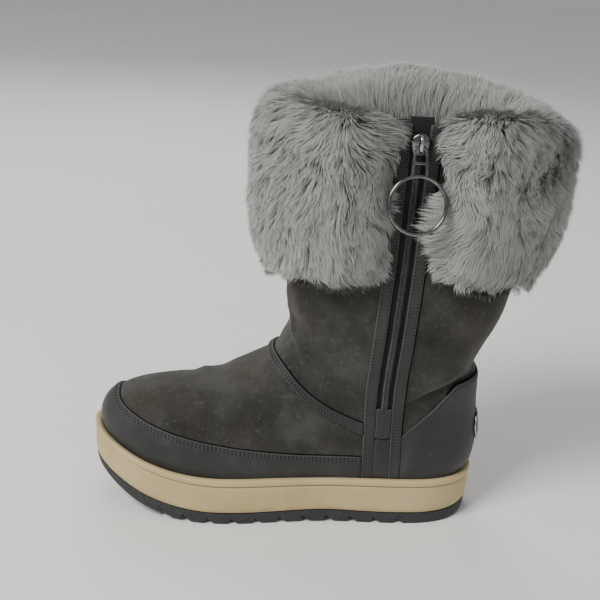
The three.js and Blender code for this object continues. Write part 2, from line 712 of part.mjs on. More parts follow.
// Toe guard: the smooth leather band around the toe, down inside the cupsole.
const zipTurn = turnAtX(zipX(RIM_HEIGHT), LOW_RING, -1);
const guardTurns = turnsBetween(zipTurn, turnAtX(SIDE_SEAM - GAP, LOW_RING, 1), 0, LOW_RING);
addPiece("toe_guard", edgedPanel(guardTurns, UNDER_RIM, GUARD_EDGE, 3), NUBUCK);

// Heel counter: the smooth leather around the heel.
// It starts on the zip's line at the ring where its edge meets the zip, and what lies before the zip is cut off.
const COUNTER_RING = 4.6;
const counterStart = turnAtX(zipX(footHeight(COUNTER_EDGE[0].value)), COUNTER_RING, -1);
const counterTurns = turnsBetween(counterStart, turnAtX(SIDE_SEAM, LOW_RING, 1), 1, LOW_RING);
const beforeZip = toSolid(
  zipPiece(-70, zipZone, 8, RIM_HEIGHT - TRAY_DEPTH, INSTEP_HEIGHT, 14, -WALL, LAY + OVERLAY + WALL),
);
addPiece("heel_counter", edgedPanel(counterTurns, UNDER_RIM, COUNTER_EDGE, 7, beforeZip), NUBUCK);

// Ankle binding: the raised strip over the seam between vamp and shaft.
const bindingTurns = turnsBetween(
  turnAtX(zipX(RIM_HEIGHT), BINDING_RING, -1),
  turnAtX(SIDE_SEAM + 6, BINDING_RING, 1),
  0,
  BINDING_RING,
);
addPiece("ankle_binding", edgedPanel(bindingTurns, BINDING_BOTTOM, BINDING_TOP, 2), NUBUCK);

addPiece(
  "zip_strip_front",
  zipPiece(-halfZip - STRIP_WIDTH, -halfZip, 1, stripBottom, stripTop, STRIP_STEPS, LAY, LAY + OVERLAY),
  NUBUCK,
);
addPiece(
  "zip_strip_rear",
  zipPiece(halfZip, halfZip + STRIP_WIDTH, 1, stripBottom, stripTop, STRIP_STEPS, LAY, LAY + OVERLAY),
  NUBUCK,
);

// Zip: woven tape in the slot, the chain on it, the folded tab over its lower end and the leather below.
const tapeHalf = slotHalf - GAP;
const tapeBottom = upperBase(-0.5, SLOT_BOTTOM).z + 2;
addPiece(
  "zip_tape",
  zipPiece(-tapeHalf, tapeHalf, 2, tapeBottom, COLLAR_HEIGHT + TAPE_END, 20, -WALL + 0.4, -GAP - 0.3),
  TAPE,
);
addPiece(
  "zip_chain",
  zipPiece(-CHAIN_WIDTH / 2, CHAIN_WIDTH / 2, 1, tabTop + 1, SLIDER_HEIGHT - 2, 18, 0, CHAIN_RISE),
  TAPE,
);
addPiece(
  "zip_tab",
  zipPiece(-halfZip + GAP, halfZip - GAP, 2, tabBottom + GAP, tabTop, 3, LAY, LAY + OVERLAY),
  NUBUCK,
);
addPiece(
  "zip_base",
  zipPiece(-halfZip + GAP, halfZip - GAP, 2, stripBottom, tabBottom, 4, LAY, LAY + OVERLAY),
  NUBUCK,
);

// Slider: an egg-shaped body on the chain with a bridge over it, which the pull hangs from.
const sliderSeat = sideAt(zipX(SLIDER_HEIGHT), SLIDER_HEIGHT, -1, CHAIN_RISE + GAP + 0.1);

function makeSlider() {
  const outline = new THREE.Shape();
  const wide = SLIDER_WIDTH / 2;
  outline.moveTo(0, SLIDER_LENGTH / 2);
  outline.bezierCurveTo(wide * 1.15, SLIDER_LENGTH * 0.46, wide * 1.15, 0, wide * 0.78, -SLIDER_LENGTH / 2);
  outline.lineTo(-wide * 0.78, -SLIDER_LENGTH / 2);
  outline.bezierCurveTo(-wide * 1.15, 0, -wide * 1.15, SLIDER_LENGTH * 0.46, 0, SLIDER_LENGTH / 2);
  const plate = new THREE.ExtrudeGeometry(outline, {
    depth: SLIDER_THICKNESS,
    bevelEnabled: false,
    curveSegments: 6,
  });
  plate.rotateX(Math.PI / 2);
  const [foot, rise] = [SLIDER_LENGTH * 0.46, SLIDER_THICKNESS + BRIDGE_RISE];
  const arch = new THREE.Shape();
  arch.moveTo(-foot, SLIDER_THICKNESS - 1);
  arch.quadraticCurveTo(-foot, rise, -foot * 0.5, rise);
  arch.lineTo(foot * 0.6, rise);
  arch.quadraticCurveTo(foot, rise, foot, SLIDER_THICKNESS - 1);
  arch.lineTo(foot * 0.8, SLIDER_THICKNESS - 1);
  arch.quadraticCurveTo(foot * 0.8, rise - BRIDGE_BAR, foot * 0.5, rise - BRIDGE_BAR);
  arch.lineTo(-foot * 0.4, rise - BRIDGE_BAR);
  arch.quadraticCurveTo(-foot * 0.8, rise - BRIDGE_BAR, -foot * 0.8, SLIDER_THICKNESS - 1);
  const bridge = new THREE.ExtrudeGeometry(arch, {
    depth: BRIDGE_WIDTH,
    bevelEnabled: false,
    curveSegments: 3,
  });
  bridge.translate(0, 0, -BRIDGE_WIDTH / 2);
  bridge.applyMatrix4(
    new THREE.Matrix4().makeBasis(
      new THREE.Vector3(0, 0, 1),
      new THREE.Vector3(0, -1, 0),
      new THREE.Vector3(1, 0, 0),
    ),
  );
  return join(plate, bridge);
}

addPiece("zip_slider", makeSlider(), NICKEL).position.copy(sliderSeat);

// Pull: a ring on a forked neck, hanging from a bar under the slider's bridge and leaning out on the fur.
function makePull() {
  const rod = (length) => new THREE.CylinderGeometry(PULL_ROD, PULL_ROD, length, 8);
  const side = PULL_WIDTH / 2;
  const bar = rod(PULL_WIDTH + PULL_ROD).rotateZ(Math.PI / 2);
  const neckLength = PULL_NECK + RING_ROD;
  const left = rod(neckLength).rotateX(Math.PI / 2).translate(-side, 0, -neckLength / 2 + PULL_ROD / 2);
  const right = left.clone().translate(2 * side, 0, 0);
  const ring = new THREE.TorusGeometry(RING_RADIUS, RING_ROD, 6, 24);
  ring.rotateX(Math.PI / 2).translate(0, 0, -PULL_NECK - RING_RADIUS);
  return join(bar, left, right, ring);
}

const pull = new THREE.Group();
pull.position.copy(sliderSeat);
pull.position.y -= SLIDER_THICKNESS + (BRIDGE_RISE - BRIDGE_BAR) / 2;
pull.position.z -= PULL_DROP;
pull.rotation.x = -THREE.MathUtils.degToRad(PULL_TILT);
boot.add(pull);
addPiece("zip_pull", makePull(), NICKEL, pull);

// Heel badge: a plain domed plate at the back of the heel, bare.
function makeBadge() {
  const middle = footHeight(BADGE_MIDDLE);
  const grid = (offset) =>
    [-1, -0.75, -0.3, 0.3, 0.75, 1].map((up) => {
      const z = middle + (up * BADGE_HEIGHT) / 2;
      const wide = (BADGE_WIDTH / 2) * Math.sqrt(1 - 0.62 * up * up);
      return [-1, -0.6, -0.2, 0.2, 0.6, 1].map((across) => backAt(across * wide, z, offset));
    });
  const seat = LAY + OVERLAY + GAP + 0.15;
  return shell(grid(seat + BADGE_THICKNESS), grid(seat), false);
}

// Point at the back of the heel at y and z, moved out by offset.
function backAt(y, z, offset) {
  const side = y < 0 ? -1 : 1;
  let [near, far] = [0.6, 1];
  let s = 0;
  for (let n = 0; n < 20; n += 1) {
    const middle = (near + far) / 2;
    s = stepAtHeight(side * middle, () => z);
    if (Math.abs(upperBase(side * middle, s).y) > Math.abs(y)) near = middle;
    else far = middle;
  }
  return upperAt(side * near, s, offset);
}

addPiece("heel_badge", makeBadge(), NICKEL);

// Fur cuff: the fold-over collar. Its section runs up the shaft's outside, over the leather's edge and a
// little way down inside. Rows by place around the shaft, from the zip's front over the toe to its back;
// way: turn, counted on past the heel; low and high: heights as shares of the collar height; deep: share of
// the fur's depth; taper: share of that depth lost at the lower edge.
const CUFF = [
  { way: -0.436, low: 0.65, high: 1.012, deep: 0.3, taper: 0 },
  { way: -0.405, low: 0.64, high: 1.022, deep: 0.68, taper: 0 },
  { way: -0.35, low: 0.632, high: 1.028, deep: 0.93, taper: 0 },
  { way: -0.2, low: 0.635, high: 1.035, deep: 0.97, taper: 0.05 },
  { way: 0, low: 0.63, high: 1.035, deep: 0.9, taper: 0.1 },
  { way: 0.25, low: 0.64, high: 1.045, deep: 1.0, taper: 0.1 },
  { way: 0.5, low: 0.635, high: 1.085, deep: 1.08, taper: 0.1 },
  { way: 0.75, low: 0.635, high: 1.06, deep: 1.1, taper: 0.25 },
  { way: 1.0, low: 0.64, high: 1.02, deep: 1.1, taper: 0.45 },
  { way: 1.25, low: 0.632, high: 1.035, deep: 1.05, taper: 0.35 },
  { way: 1.37, low: 0.64, high: 1.04, deep: 0.95, taper: 0.15 },
  { way: 1.425, low: 0.65, high: 1.03, deep: 0.62, taper: 0 },
  { way: 1.454, low: 0.665, high: 1.02, deep: 0.3, taper: 0 },
];
const cuffValue = (way, key) => tableValue(CUFF.map((row) => ({ at: row.way, value: row[key] })), way);

// Outline of the cuff's section. out: share of the local depth, from the shaft's face; up: share of the
// height from its lower edge to its top.
const CUFF_SEAT = GAP + 0.6; // from the shaft's face to the back of the cuff
const LIP_GAP = 2; // from the upper's inner face to the cuff's lip inside
const CUFF_OUTLINE = [
  { out: 0.22, up: 0.03 },
  { out: 0.55, up: 0 },
  { out: 0.84, up: 0.07 },
  { out: 0.98, up: 0.22 },
  { out: 1.02, up: 0.42 },
  { out: 1.03, up: 0.62 },
  { out: 1.0, up: 0.78 },
  { out: 0.88, up: 0.91 },
  { out: 0.58, up: 0.985 },
  { out: 0.18, up: 1.0 },
  { out: -0.16, up: 0.965 },
  { out: -0.34, up: 0.88 },
  { out: -0.36, up: 0.76 },
];
// The rest of the outline, along both faces of the upper. out: above 0 outside the upper, below 0 inside it;
// down: share of the way from the collar to the cuff's lower edge.
const CUFF_BACK = [
  { out: -0.1, down: 0.25 },
  { out: -0.1, down: -0.005 },
  { out: 0, down: -0.005 },
  { out: 0, down: 0.3 },
  { out: 0, down: 0.6 },
  { out: 0, down: 0.9 },
];

// Point beside the shaft at a height, moved out by offset.
function shaftAt(way, z, offset) {
  const turn = way > 1 ? way - 2 : way;
  const p = upperAt(turn, stepAtHeight(turn, () => Math.min(z, COLLAR_HEIGHT)), offset);
  return p.setZ(z);
}

function cuffPoint(way, out, up) {
  const low = cuffValue(way, "low") * COLLAR_HEIGHT;
  const high = cuffValue(way, "high") * COLLAR_HEIGHT;
  const taper = cuffValue(way, "taper") * (1 - up) ** 1.5;
  const deep = cuffValue(way, "deep") * FUR_DEPTH * (1 - taper);
  const seat = out < 0 ? -WALL - LIP_GAP : CUFF_SEAT;
  return shaftAt(way, lerp(low, high, up), seat + out * deep);
}

function cuffBackPoint(way, out, down) {
  const low = cuffValue(way, "low") * COLLAR_HEIGHT;
  return shaftAt(way, lerp(COLLAR_HEIGHT, low, down), out < 0 ? -WALL - LIP_GAP : CUFF_SEAT);
}

// Band of the cuff, with its sections on the upper's columns.
function makeCuffBand() {
  const [first, last] = [CUFF[0].way, CUFF[CUFF.length - 1].way];
  const columns = upperTurns(TOP_RING).map((turn) => (turn < first ? turn + 2 : turn));
  const between = columns.filter((way) => way > first + 0.02 && way < last - 0.02);
  const ways = [first, ...between, last].sort((p, q) => p - q);
  const sections = ways.map((way) => [
    ...CUFF_OUTLINE.map(({ out, up }) => cuffPoint(way, out, up)),
    ...CUFF_BACK.map(({ out, down }) => cuffBackPoint(way, out, down)),
  ]);
  const count = sections[0].length;
  const contour = [
    ...CUFF_OUTLINE.map(({ out, up }) => new THREE.Vector2(out, up)),
    ...CUFF_BACK.map(({ out, down }) => new THREE.Vector2(out, 0.95 * (1 - down))),
  ];
  const faces = [];
  for (let k = 0; k < sections.length - 1; k += 1) {
    for (let i = 0; i < count; i += 1) {
      const j = (i + 1) % count;
      const [a, b, c, d] = [k * count + i, k * count + j, (k + 1) * count + j, (k + 1) * count + i];
      faces.push([a, b, c], [a, c, d]);
    }
  }
  const start = (sections.length - 1) * count;
  for (const [a, b, c] of THREE.ShapeUtils.triangulateShape(contour, [])) {
    faces.push([a, c, b], [start + a, start + b, start + c]);
  }
  return body(sections.flat(), faces);
}

// One lock of fur: a drop that leaves the cuff outwards and bends down to a point.
function makeLock(root, outward, sideways, size) {
  const down = new THREE.Vector3(0, 0, -1);
  const reach = LOCK_LENGTH * size;
  const radius = LOCK_RADIUS * size;
  const ring = (centre, r) =>
    [[1, 0.2], [0, 1], [-1, -0.2], [0, -0.6]].map(([a, b]) =>
      centre.clone().addScaledVector(sideways, a * r).addScaledVector(outward, b * r * 0.8),
    );
  const base = root.clone().addScaledVector(outward, -radius * 0.9);
  const bend = root.clone().addScaledVector(outward, radius * 0.1).addScaledVector(down, reach * 0.45);
  const tip = root.clone().addScaledVector(outward, radius * 0.55).addScaledVector(down, reach);
  const points = [...ring(base, radius * 0.7), ...ring(bend, radius * 0.75), tip];
  const faces = [[0, 2, 1], [0, 3, 2]];
  for (let i = 0; i < 4; i += 1) {
    const j = (i + 1) % 4;
    faces.push([i, j, 4 + j], [i, 4 + j, 4 + i], [4 + i, 4 + j, 8]);
  }
  return body(points, faces);
}

// Rows of locks on the cuff's outside. out and up: place on its section; size: share of a lock's full size;
// shift: how far the row is moved along, in locks.
const LOCK_ROWS = [
  { out: 1.0, up: 0.74, size: 0.95, shift: 0.25 },
  { out: 1.0, up: 0.46, size: 1.0, shift: 0.75 },
  { out: 0.92, up: 0.19, size: 1.05, shift: 0.25 },
];

function makeCuff() {
  const [first, last] = [CUFF[1].way, CUFF[CUFF.length - 2].way];
  let cuff = toSolid(makeCuffBand());
  for (const { out, up, size, shift } of LOCK_ROWS) {
    for (let n = 0; n < LOCKS_PER_ROW; n += 1) {
      const way = lerp(first, last, (n + shift) / LOCKS_PER_ROW);
      const root = cuffPoint(way, out, up);
      const outward = shaftAt(way, root.z, 10).sub(shaftAt(way, root.z, 0)).setZ(0).normalize();
      const sideways = new THREE.Vector3(-outward.y, outward.x, 0);
      const vary = 1 + 0.14 * Math.sin(5.3 * n + 8 * up);
      cuff = cuff.add(toSolid(makeLock(root, outward, sideways, size * vary)));
    }
  }
  return toGeometry(cuff);
}

addPiece("fur_cuff", makeCuff(), FUR);

// The whole boot is centred over the origin and stands on the floor.
const box = new THREE.Box3().setFromObject(boot, true);
boot.position.set(-(box.min.x + box.max.x) / 2, -(box.min.y + box.max.y) / 2, -box.min.z);

export default boot;
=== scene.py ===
# A left snow boot: lugged rubber outsole, cream cupsole, suede upper with smooth leather panels, a side zip
# with a ring pull and a fold-over fur cuff. Metres, toe towards -X, the zip's side towards -Y.
import math

import bpy
import numpy as np
from mathutils import Matrix, Vector
from mathutils.bvhtree import BVHTree
from mathutils.kdtree import KDTree


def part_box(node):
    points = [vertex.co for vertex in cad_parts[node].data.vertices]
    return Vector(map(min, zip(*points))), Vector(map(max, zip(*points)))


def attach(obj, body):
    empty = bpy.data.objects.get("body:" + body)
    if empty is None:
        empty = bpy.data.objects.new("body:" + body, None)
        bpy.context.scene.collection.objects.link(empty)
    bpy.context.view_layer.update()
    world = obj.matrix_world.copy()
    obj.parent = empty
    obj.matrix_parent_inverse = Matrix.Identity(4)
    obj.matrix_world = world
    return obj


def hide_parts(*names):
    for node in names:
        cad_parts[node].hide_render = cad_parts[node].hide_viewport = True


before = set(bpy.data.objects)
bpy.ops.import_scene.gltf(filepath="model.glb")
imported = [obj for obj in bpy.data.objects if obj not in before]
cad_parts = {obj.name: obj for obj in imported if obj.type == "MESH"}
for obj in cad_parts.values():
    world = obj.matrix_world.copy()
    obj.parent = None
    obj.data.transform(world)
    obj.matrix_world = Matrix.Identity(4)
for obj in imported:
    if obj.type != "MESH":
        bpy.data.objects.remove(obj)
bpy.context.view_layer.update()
bpy.ops.object.select_all(action="DESELECT")


# Outline of the sole
# The boot is built on one last: its outline from toe to heel is drawn here in millimetres, with x = 0 in the
# middle of the sole's length, y = 0 on its axis and z = 0 on the floor. Every later piece is set from it.
SOLE_LENGTH, HALF_BALL, HALF_HEEL = 284.0, 50.7, 39.25
OUTLINE = np.array([  # along from the heel, share of the ball, share of the heel, centre
    (1.0, 0, 0, 0.19), (0.987, 0.29, 0, 0.168), (0.959, 0.51, 0, 0.15), (0.915, 0.709, 0, 0.124),
    (0.863, 0.864, 0, 0.095), (0.792, 0.972, 0, 0.065), (0.711, 1.0, 0, 0.028), (0.62, 0.963, 0, 0.002),
    (0.511, 0.432, 0.558, -0.018), (0.391, 0, 1.01, -0.03), (0.282, 0, 1.0, -0.016), (0.19, 0, 1.0, -0.004),
    (0.12, 0, 0.948, 0), (0.06, 0, 0.777, 0), (0.018, 0, 0.459, 0), (0, 0, 0, 0),
])
half_width = OUTLINE[:, 1] * HALF_BALL + OUTLINE[:, 2] * HALF_HEEL
outer_side, inner_side = [
    np.stack([SOLE_LENGTH * (0.5 - OUTLINE[:, 0]), OUTLINE[:, 3] * HALF_BALL + side * half_width], 1)
    for side in (-1, 1)
]
sole_corners = np.concatenate([outer_side, inner_side[-2:0:-1]])


def curve_at(corners, share):
    """Points on a smooth closed curve through its corners; share runs from 0 to 1 round it."""
    count = len(corners)
    at = np.mod(share, 1.0) * count
    first = np.floor(at).astype(int)
    f = (at - first)[..., None]
    a, b, c, d = [corners[(first + n) % count] for n in (-1, 0, 1, 2)]
    ab, bc, cd = [np.sqrt(np.linalg.norm(q - p, axis=-1, keepdims=True)) for p, q in ((a, b), (b, c), (c, d))]
    start = ((b - a) / ab - (c - a) / (ab + bc) + (c - b) / bc) * bc
    end = ((c - b) / bc - (d - b) / (bc + cd) + (d - c) / cd) * bc
    return b + start * f + (3 * (c - b) - 2 * start - end) * f**2 + (2 * (b - c) + start + end) * f**3


def outline_at(turn, inset=0.0):
    """Outline by turn: 0 at the toe tip, -1 or 1 at the heel, negative on the outer side."""
    turn = np.asarray(turn, float)
    share = np.where(turn <= 0, -turn, 2 - turn) / 2
    ahead = curve_at(sole_corners, share + 1e-4) - curve_at(sole_corners, share - 1e-4)
    ahead /= np.linalg.norm(ahead, axis=-1, keepdims=True)
    inward = np.stack([-ahead[..., 1], ahead[..., 0]], -1)
    return curve_at(sole_corners, share) + inward * np.asarray(inset, float)[..., None]


round_sole = outline_at(np.linspace(-1, 1, 801)[1:])
sole_low, sole_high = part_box("outsole")
PLACE = np.array([
    (sole_low.x + sole_high.x) * 500,
    (sole_low.y + sole_high.y) * 500 - (round_sole[:, 1].min() + round_sole[:, 1].max()) / 2,
    0.0,
])


def placed(points):
    """Millimetres on the last to metres in the model's frame."""
    return (np.asarray(points, float) + PLACE) / 1000


def ease(share):
    share = np.clip(share, 0, 1)
    return share * share * (3 - 2 * share)


# Camera
# The photograph was taken a little above the boot from its outer side, with a slight roll.
CAMERA_AT = np.array([-36.9, -670.9, 406.2])
CAMERA_TARGET = np.array([4.35, 0.0, 157.87])
CAMERA_ROLL = 4.07
bpy.ops.object.camera_add(location=placed(CAMERA_AT))
camera = bpy.context.object
camera.data.lens, camera.data.sensor_width = 60, 36
camera.rotation_mode = "QUATERNION"
sight = Vector(CAMERA_TARGET - CAMERA_AT).to_track_quat("-Z", "Y")
camera.rotation_quaternion = sight @ Matrix.Rotation(math.radians(CAMERA_ROLL), 4, "Z").to_quaternion()
bpy.context.scene.camera = camera


# Outsole
# Black-grey rubber tread, moulded in one and glued under the cupsole. Cut from the sole's outline and a side
# profile with eleven saw-tooth lugs, as its solid is, with a fine bevel on every edge.
TREAD, TOE_SPRING = 8.9, 22.9
LUG_PITCH, LUG_DEPTH, FIRST_NOTCH, LUG_COUNT = 17.4, 4.2, -91.3, 11
NOTCH_FACE, NOTCH_LENGTH = 1.6, 7.5
CHANNEL_HALF, CHANNEL_DEPTH = 2.5, 3.2
SIDE_INSET, HALF_LENGTH = 1.2, 143


def cream_bottom(x):
    along = 0.5 - x / SOLE_LENGTH
    toe = np.clip((along - 0.651) / 0.349, 0, 1)
    arch = np.maximum(0, 1 - ((along - 0.405) / 0.158) ** 2) ** 2
    return TREAD + TOE_SPRING * toe**2 + 1.5 * arch + 2.9 * np.clip((0.169 - along) / 0.169, 0, 1) ** 2


def rim_top(x):
    return 36.2 + 19.4 * np.clip((0.5 - x / SOLE_LENGTH - 0.651) / 0.349, 0, 1) ** 2


def tread_bottom(x):
    along = 0.5 - x / SOLE_LENGTH
    toe, back = np.clip((along - 0.83) / 0.17, 0, 1), np.clip((0.05 - along) / 0.05, 0, 1)
    return cream_bottom(x) - TREAD * (1 - 0.62 * toe**2) * (1 - 0.45 * back**2)


def piece_from(name, points, faces, smooth=True):
    """A mesh object from points in millimetres on the last."""
    mesh = bpy.data.meshes.new(name)
    mesh.from_pydata(placed(points).tolist(), [], [list(map(int, f)) for f in faces])
    mesh.validate()
    piece = bpy.data.objects.new(name, mesh)
    bpy.context.collection.objects.link(piece)
    if smooth:
        mesh.polygons.foreach_set("use_smooth", [True] * len(mesh.polygons))
    return piece


def only(piece):
    """Selects one piece alone and makes it the active one."""
    bpy.ops.object.select_all(action="DESELECT")
    piece.select_set(True)
    bpy.context.view_layer.objects.active = piece
    return piece


def finish_with(piece, kind, **values):
    """Adds a modifier, sets it and applies it."""
    only(piece)
    modifier = piece.modifiers.new(kind.title(), kind)
    for key, value in values.items():
        setattr(modifier, key, value)
    bpy.ops.object.modifier_apply(modifier=modifier.name)


def recalculated(piece, apart=1e-6):
    """Turns every face outwards, once points nearer than apart are merged; with None no point is."""
    only(piece)
    bpy.ops.object.mode_set(mode="EDIT")
    bpy.ops.mesh.select_all(action="SELECT")
    if apart is not None:
        bpy.ops.mesh.remove_doubles(threshold=apart)
    bpy.ops.mesh.normals_make_consistent(inside=False)
    bpy.ops.object.mode_set(mode="OBJECT")
    return piece


def prism(name, corners, low, high, axis):
    """A closed block with a flat outline, from low to high along an axis."""
    count = len(corners)
    make = (lambda p, t: (p[0], p[1], t)) if axis == "z" else (lambda p, t: (p[0], t, p[1]))
    points = [make(p, t) for t in (low, high) for p in corners]
    sides = [(i, (i + 1) % count, count + (i + 1) % count, count + i) for i in range(count)]
    faces = [list(range(count))[::-1], list(range(count, 2 * count)), *sides]
    return recalculated(piece_from(name, points, faces, smooth=False), apart=None)


def cut_with(piece, tool, way):
    finish_with(piece, "BOOLEAN", object=tool, operation=way, solver="EXACT")
    bpy.data.objects.remove(tool)


notches = FIRST_NOTCH + LUG_PITCH * np.arange(LUG_COUNT)
stations = np.linspace(-HALF_LENGTH, HALF_LENGTH, 150)
level = stations[[all(x < n - 0.5 or x > n + NOTCH_LENGTH + 0.5 for n in notches) for x in stations]]
under = [(x, tread_bottom(x)) for x in level]
for n in notches:
    under += [(n, tread_bottom(n)), (n + NOTCH_FACE, tread_bottom(n) + LUG_DEPTH),
              (n + NOTCH_LENGTH, tread_bottom(n + NOTCH_LENGTH))]
under.sort()
over = [(x, cream_bottom(x) - 0.3) for x in stations[::-1]]
outsole = prism("tread", outline_at(np.linspace(0, -2, 220, endpoint=False) % 2 - 1, SIDE_INSET), -5, 50, "z")
cut_with(outsole, prism("profile", under + over, -75, 75, "y"), "INTERSECT")
slot_x = stations[(stations > notches[0] + NOTCH_FACE) & (stations < notches[-1])]
slot = [(x, tread_bottom(x) - 8) for x in slot_x] + [(x, tread_bottom(x) + CHANNEL_DEPTH) for x in slot_x[::-1]]
cut_with(outsole, prism("channel", slot, -CHANNEL_HALF, CHANNEL_HALF, "y"), "DIFFERENCE")
finish_with(outsole, "BEVEL", width=0.0005, segments=2, limit_method="ANGLE", angle_limit=math.radians(35))
only(outsole)
bpy.ops.object.shade_smooth_by_angle(angle=math.radians(40))


BLACK, WHITE = (0, 0, 0, 1), (1, 1, 1, 1)


def grey(value):
    return (value, value, value, 1)


def srgb(red, green, blue):
    """A colour read on the 0 to 255 scale."""
    line = [v / 255 for v in (red, green, blue)]
    return (*[((v + 0.055) / 1.055) ** 2.4 if v > 0.04 else v / 12.92 for v in line], 1.0)


class Finish:
    """A node material built up by short calls; patterns lie on Object coordinates in metres."""

    def __init__(self, name, roughness, metallic=0.0, sheen=0.0, specular=0.5):
        self.material = bpy.data.materials.new(name)
        self.material.use_nodes = True
        self.tree = self.material.node_tree
        self.surface = self.tree.nodes["Principled BSDF"]
        self.surface.inputs["Roughness"].default_value = roughness
        self.surface.inputs["Metallic"].default_value = metallic
        self.surface.inputs["Sheen Weight"].default_value = sheen
        self.surface.inputs["Specular IOR Level"].default_value = specular
        self.place = self.node("ShaderNodeTexCoord").outputs["Object"]
        self.height = None

    def node(self, kind, inputs=(), **values):
        made = self.tree.nodes.new(kind)
        for key, value in values.items():
            setattr(made, key, value)
        for key, value in dict(inputs).items():
            if isinstance(value, bpy.types.NodeSocket):
                self.tree.links.new(value, made.inputs[key])
            else:
                made.inputs[key].default_value = value
        return made

    def stretched(self, x, y, z):
        return self.node("ShaderNodeMapping", {"Vector": self.place, "Scale": (x, y, z)}).outputs[0]

    def noise(self, scale, detail=4.0, rough=0.55, place=None):
        inputs = {"Vector": place or self.place, "Scale": scale, "Detail": detail, "Roughness": rough}
        return self.node("ShaderNodeTexNoise", inputs).outputs["Fac"]

    def ramp(self, value, *stops):
        made = self.node("ShaderNodeValToRGB", {"Fac": value})
        band = made.color_ramp.elements
        while len(band) < len(stops):
            band.new(0.5)
        for element, (at, colour) in zip(band, stops):
            element.position, element.color = at, colour
        return made.outputs["Color"]

    def mix(self, share, a, b, way="MIX"):
        made = self.node("ShaderNodeMix", data_type="RGBA", blend_type=way)
        for key, value in ((0, share), (6, a), (7, b)):
            if isinstance(value, bpy.types.NodeSocket):
                self.tree.links.new(value, made.inputs[key])
            else:
                made.inputs[key].default_value = value
        return made.outputs[2]

    def math(self, way, a, b=0.0, c=0.0):
        return self.node("ShaderNodeMath", {0: a, 1: b, 2: c}, operation=way).outputs[0]

    def attribute(self, name):
        return self.node("ShaderNodeAttribute", attribute_name=name).outputs["Fac"]

    def colour(self, socket):
        self.tree.links.new(socket, self.surface.inputs["Base Color"])
        return self

    def roughness(self, socket):
        self.tree.links.new(socket, self.surface.inputs["Roughness"])
        return self

    def bump(self, height, strength, distance):
        inputs = {"Height": height, "Strength": strength, "Distance": distance}
        if self.height:
            inputs["Normal"] = self.height
        self.height = self.node("ShaderNodeBump", inputs).outputs["Normal"]
        self.tree.links.new(self.height, self.surface.inputs["Normal"])
        return self


def span(value_low, value_high):
    """Grey stops of a ramp from black to white between two values."""
    return (value_low, BLACK), (value_high, WHITE)


def dress(piece, body, slot, *finishes, replaces=()):
    """Gives a piece its materials, its body and the CAD nodes that it stands for; slot is not used."""
    piece.data.materials.clear()
    for finish in finishes:
        piece.data.materials.append(finish.material)
    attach(piece, body)
    if replaces:
        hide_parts(*replaces)
    return piece


black_rubber = Finish("black_rubber", 0.62, specular=0.35)
speck = black_rubber.noise(700, 5)
black_rubber.colour(black_rubber.ramp(speck, (0.3, srgb(40, 41, 43)), (0.7, srgb(62, 63, 66))))
black_rubber.bump(speck, 0.25, 0.0003)
outsole.name = "rubber_outsole"
dress(outsole, "boot", "outsole_rubber", black_rubber, replaces=["outsole"])


# Cupsole
# The cream rubber tray that the upper is stitched and glued into: a high wall with a rounded lip, a thin
# groove under it with painted shade, fine slanting rows of dots below and a little dirt at the foot. Moulded in one
# piece.
WALL = [(2.2, 0), (1.2, 0.02), (0.6, 0.055), (0.3, 0.14), (0.2, 0.3), (0.2, 0.5), (0.2, 0.7), (0.22, 0.775),
        (0.75, 0.79), (1.0, 0.8), (0.6, 0.812), (-0.15, 0.825), (-0.4, 0.86), (-0.5, 0.9), (-0.4, 0.945),
        (0.1, 0.98), (0.8, 0.996), (1.6, 1.0), (3.0, 1.0)]
TRAY = [(5.2, -1.4), (6.5, -5), (7.5, -13)]
AROUND = 320


def turns_round(count):
    """Even turns right round the last from the toe tip, the outer side first."""
    turns = -np.linspace(0, 2, count, endpoint=False)
    return np.where(turns < -1, turns + 2, turns)


def grid_faces(rows, columns, wrapped=False, start=0):
    """Quads of a grid of points, row by row; wrapped joins each row's last point to its first."""
    cells = columns if wrapped else columns - 1
    return [
        (start + r * columns + i, start + r * columns + (i + 1) % columns,
         start + (r + 1) * columns + (i + 1) % columns, start + (r + 1) * columns + i)
        for r in range(rows - 1) for i in range(cells)
    ]


def closed_by_rings(rings):
    """Faces between rings that begin at the toe, closed at both ends by strips across the foot."""
    count = len(rings[0])
    faces = grid_faces(len(rings), count, True)
    top = (len(rings) - 1) * count
    for i in range(count // 2):
        strip = (i, i + 1, (count - i - 1) % count, (count - i) % count)
        strip = strip if 0 < i < count // 2 - 1 else tuple(dict.fromkeys(strip))
        faces += [strip[::-1], tuple(top + n for n in strip)]
    return faces


def put_map(piece, across, up):
    """A UV map from two values per vertex."""
    layer = piece.data.uv_layers.new(name="wall")
    corner = np.zeros(len(piece.data.loops), int)
    piece.data.loops.foreach_get("vertex_index", corner)
    layer.data.foreach_set("uv", np.stack([across[corner], up[corner]], 1).ravel())


round_turns = turns_round(AROUND)
rings = []
for inset, up in WALL:
    p = outline_at(round_turns, inset)
    rings.append(np.column_stack([p, cream_bottom(p[:, 0]) * (1 - up) + rim_top(p[:, 0]) * up]))
for inset, drop in TRAY:
    p = outline_at(round_turns, inset)
    rings.append(np.column_stack([p, rim_top(p[:, 0]) + drop]))
cupsole = piece_from("cream_cupsole", np.concatenate(rings), closed_by_rings(rings))
ground = outline_at(round_turns)
length_round = np.concatenate([[0], np.cumsum(np.linalg.norm(np.diff(ground, axis=0), axis=1))])
put_map(cupsole, np.tile(length_round / 1000, len(rings)), np.concatenate([r[:, 2] for r in rings]) / 1000)
heights = np.concatenate([np.full(AROUND, up) for _, up in WALL] + [np.ones(AROUND)] * len(TRAY))
cupsole.data.attributes.new("up", "FLOAT", "POINT").data.foreach_set("value", heights)
recalculated(cupsole)

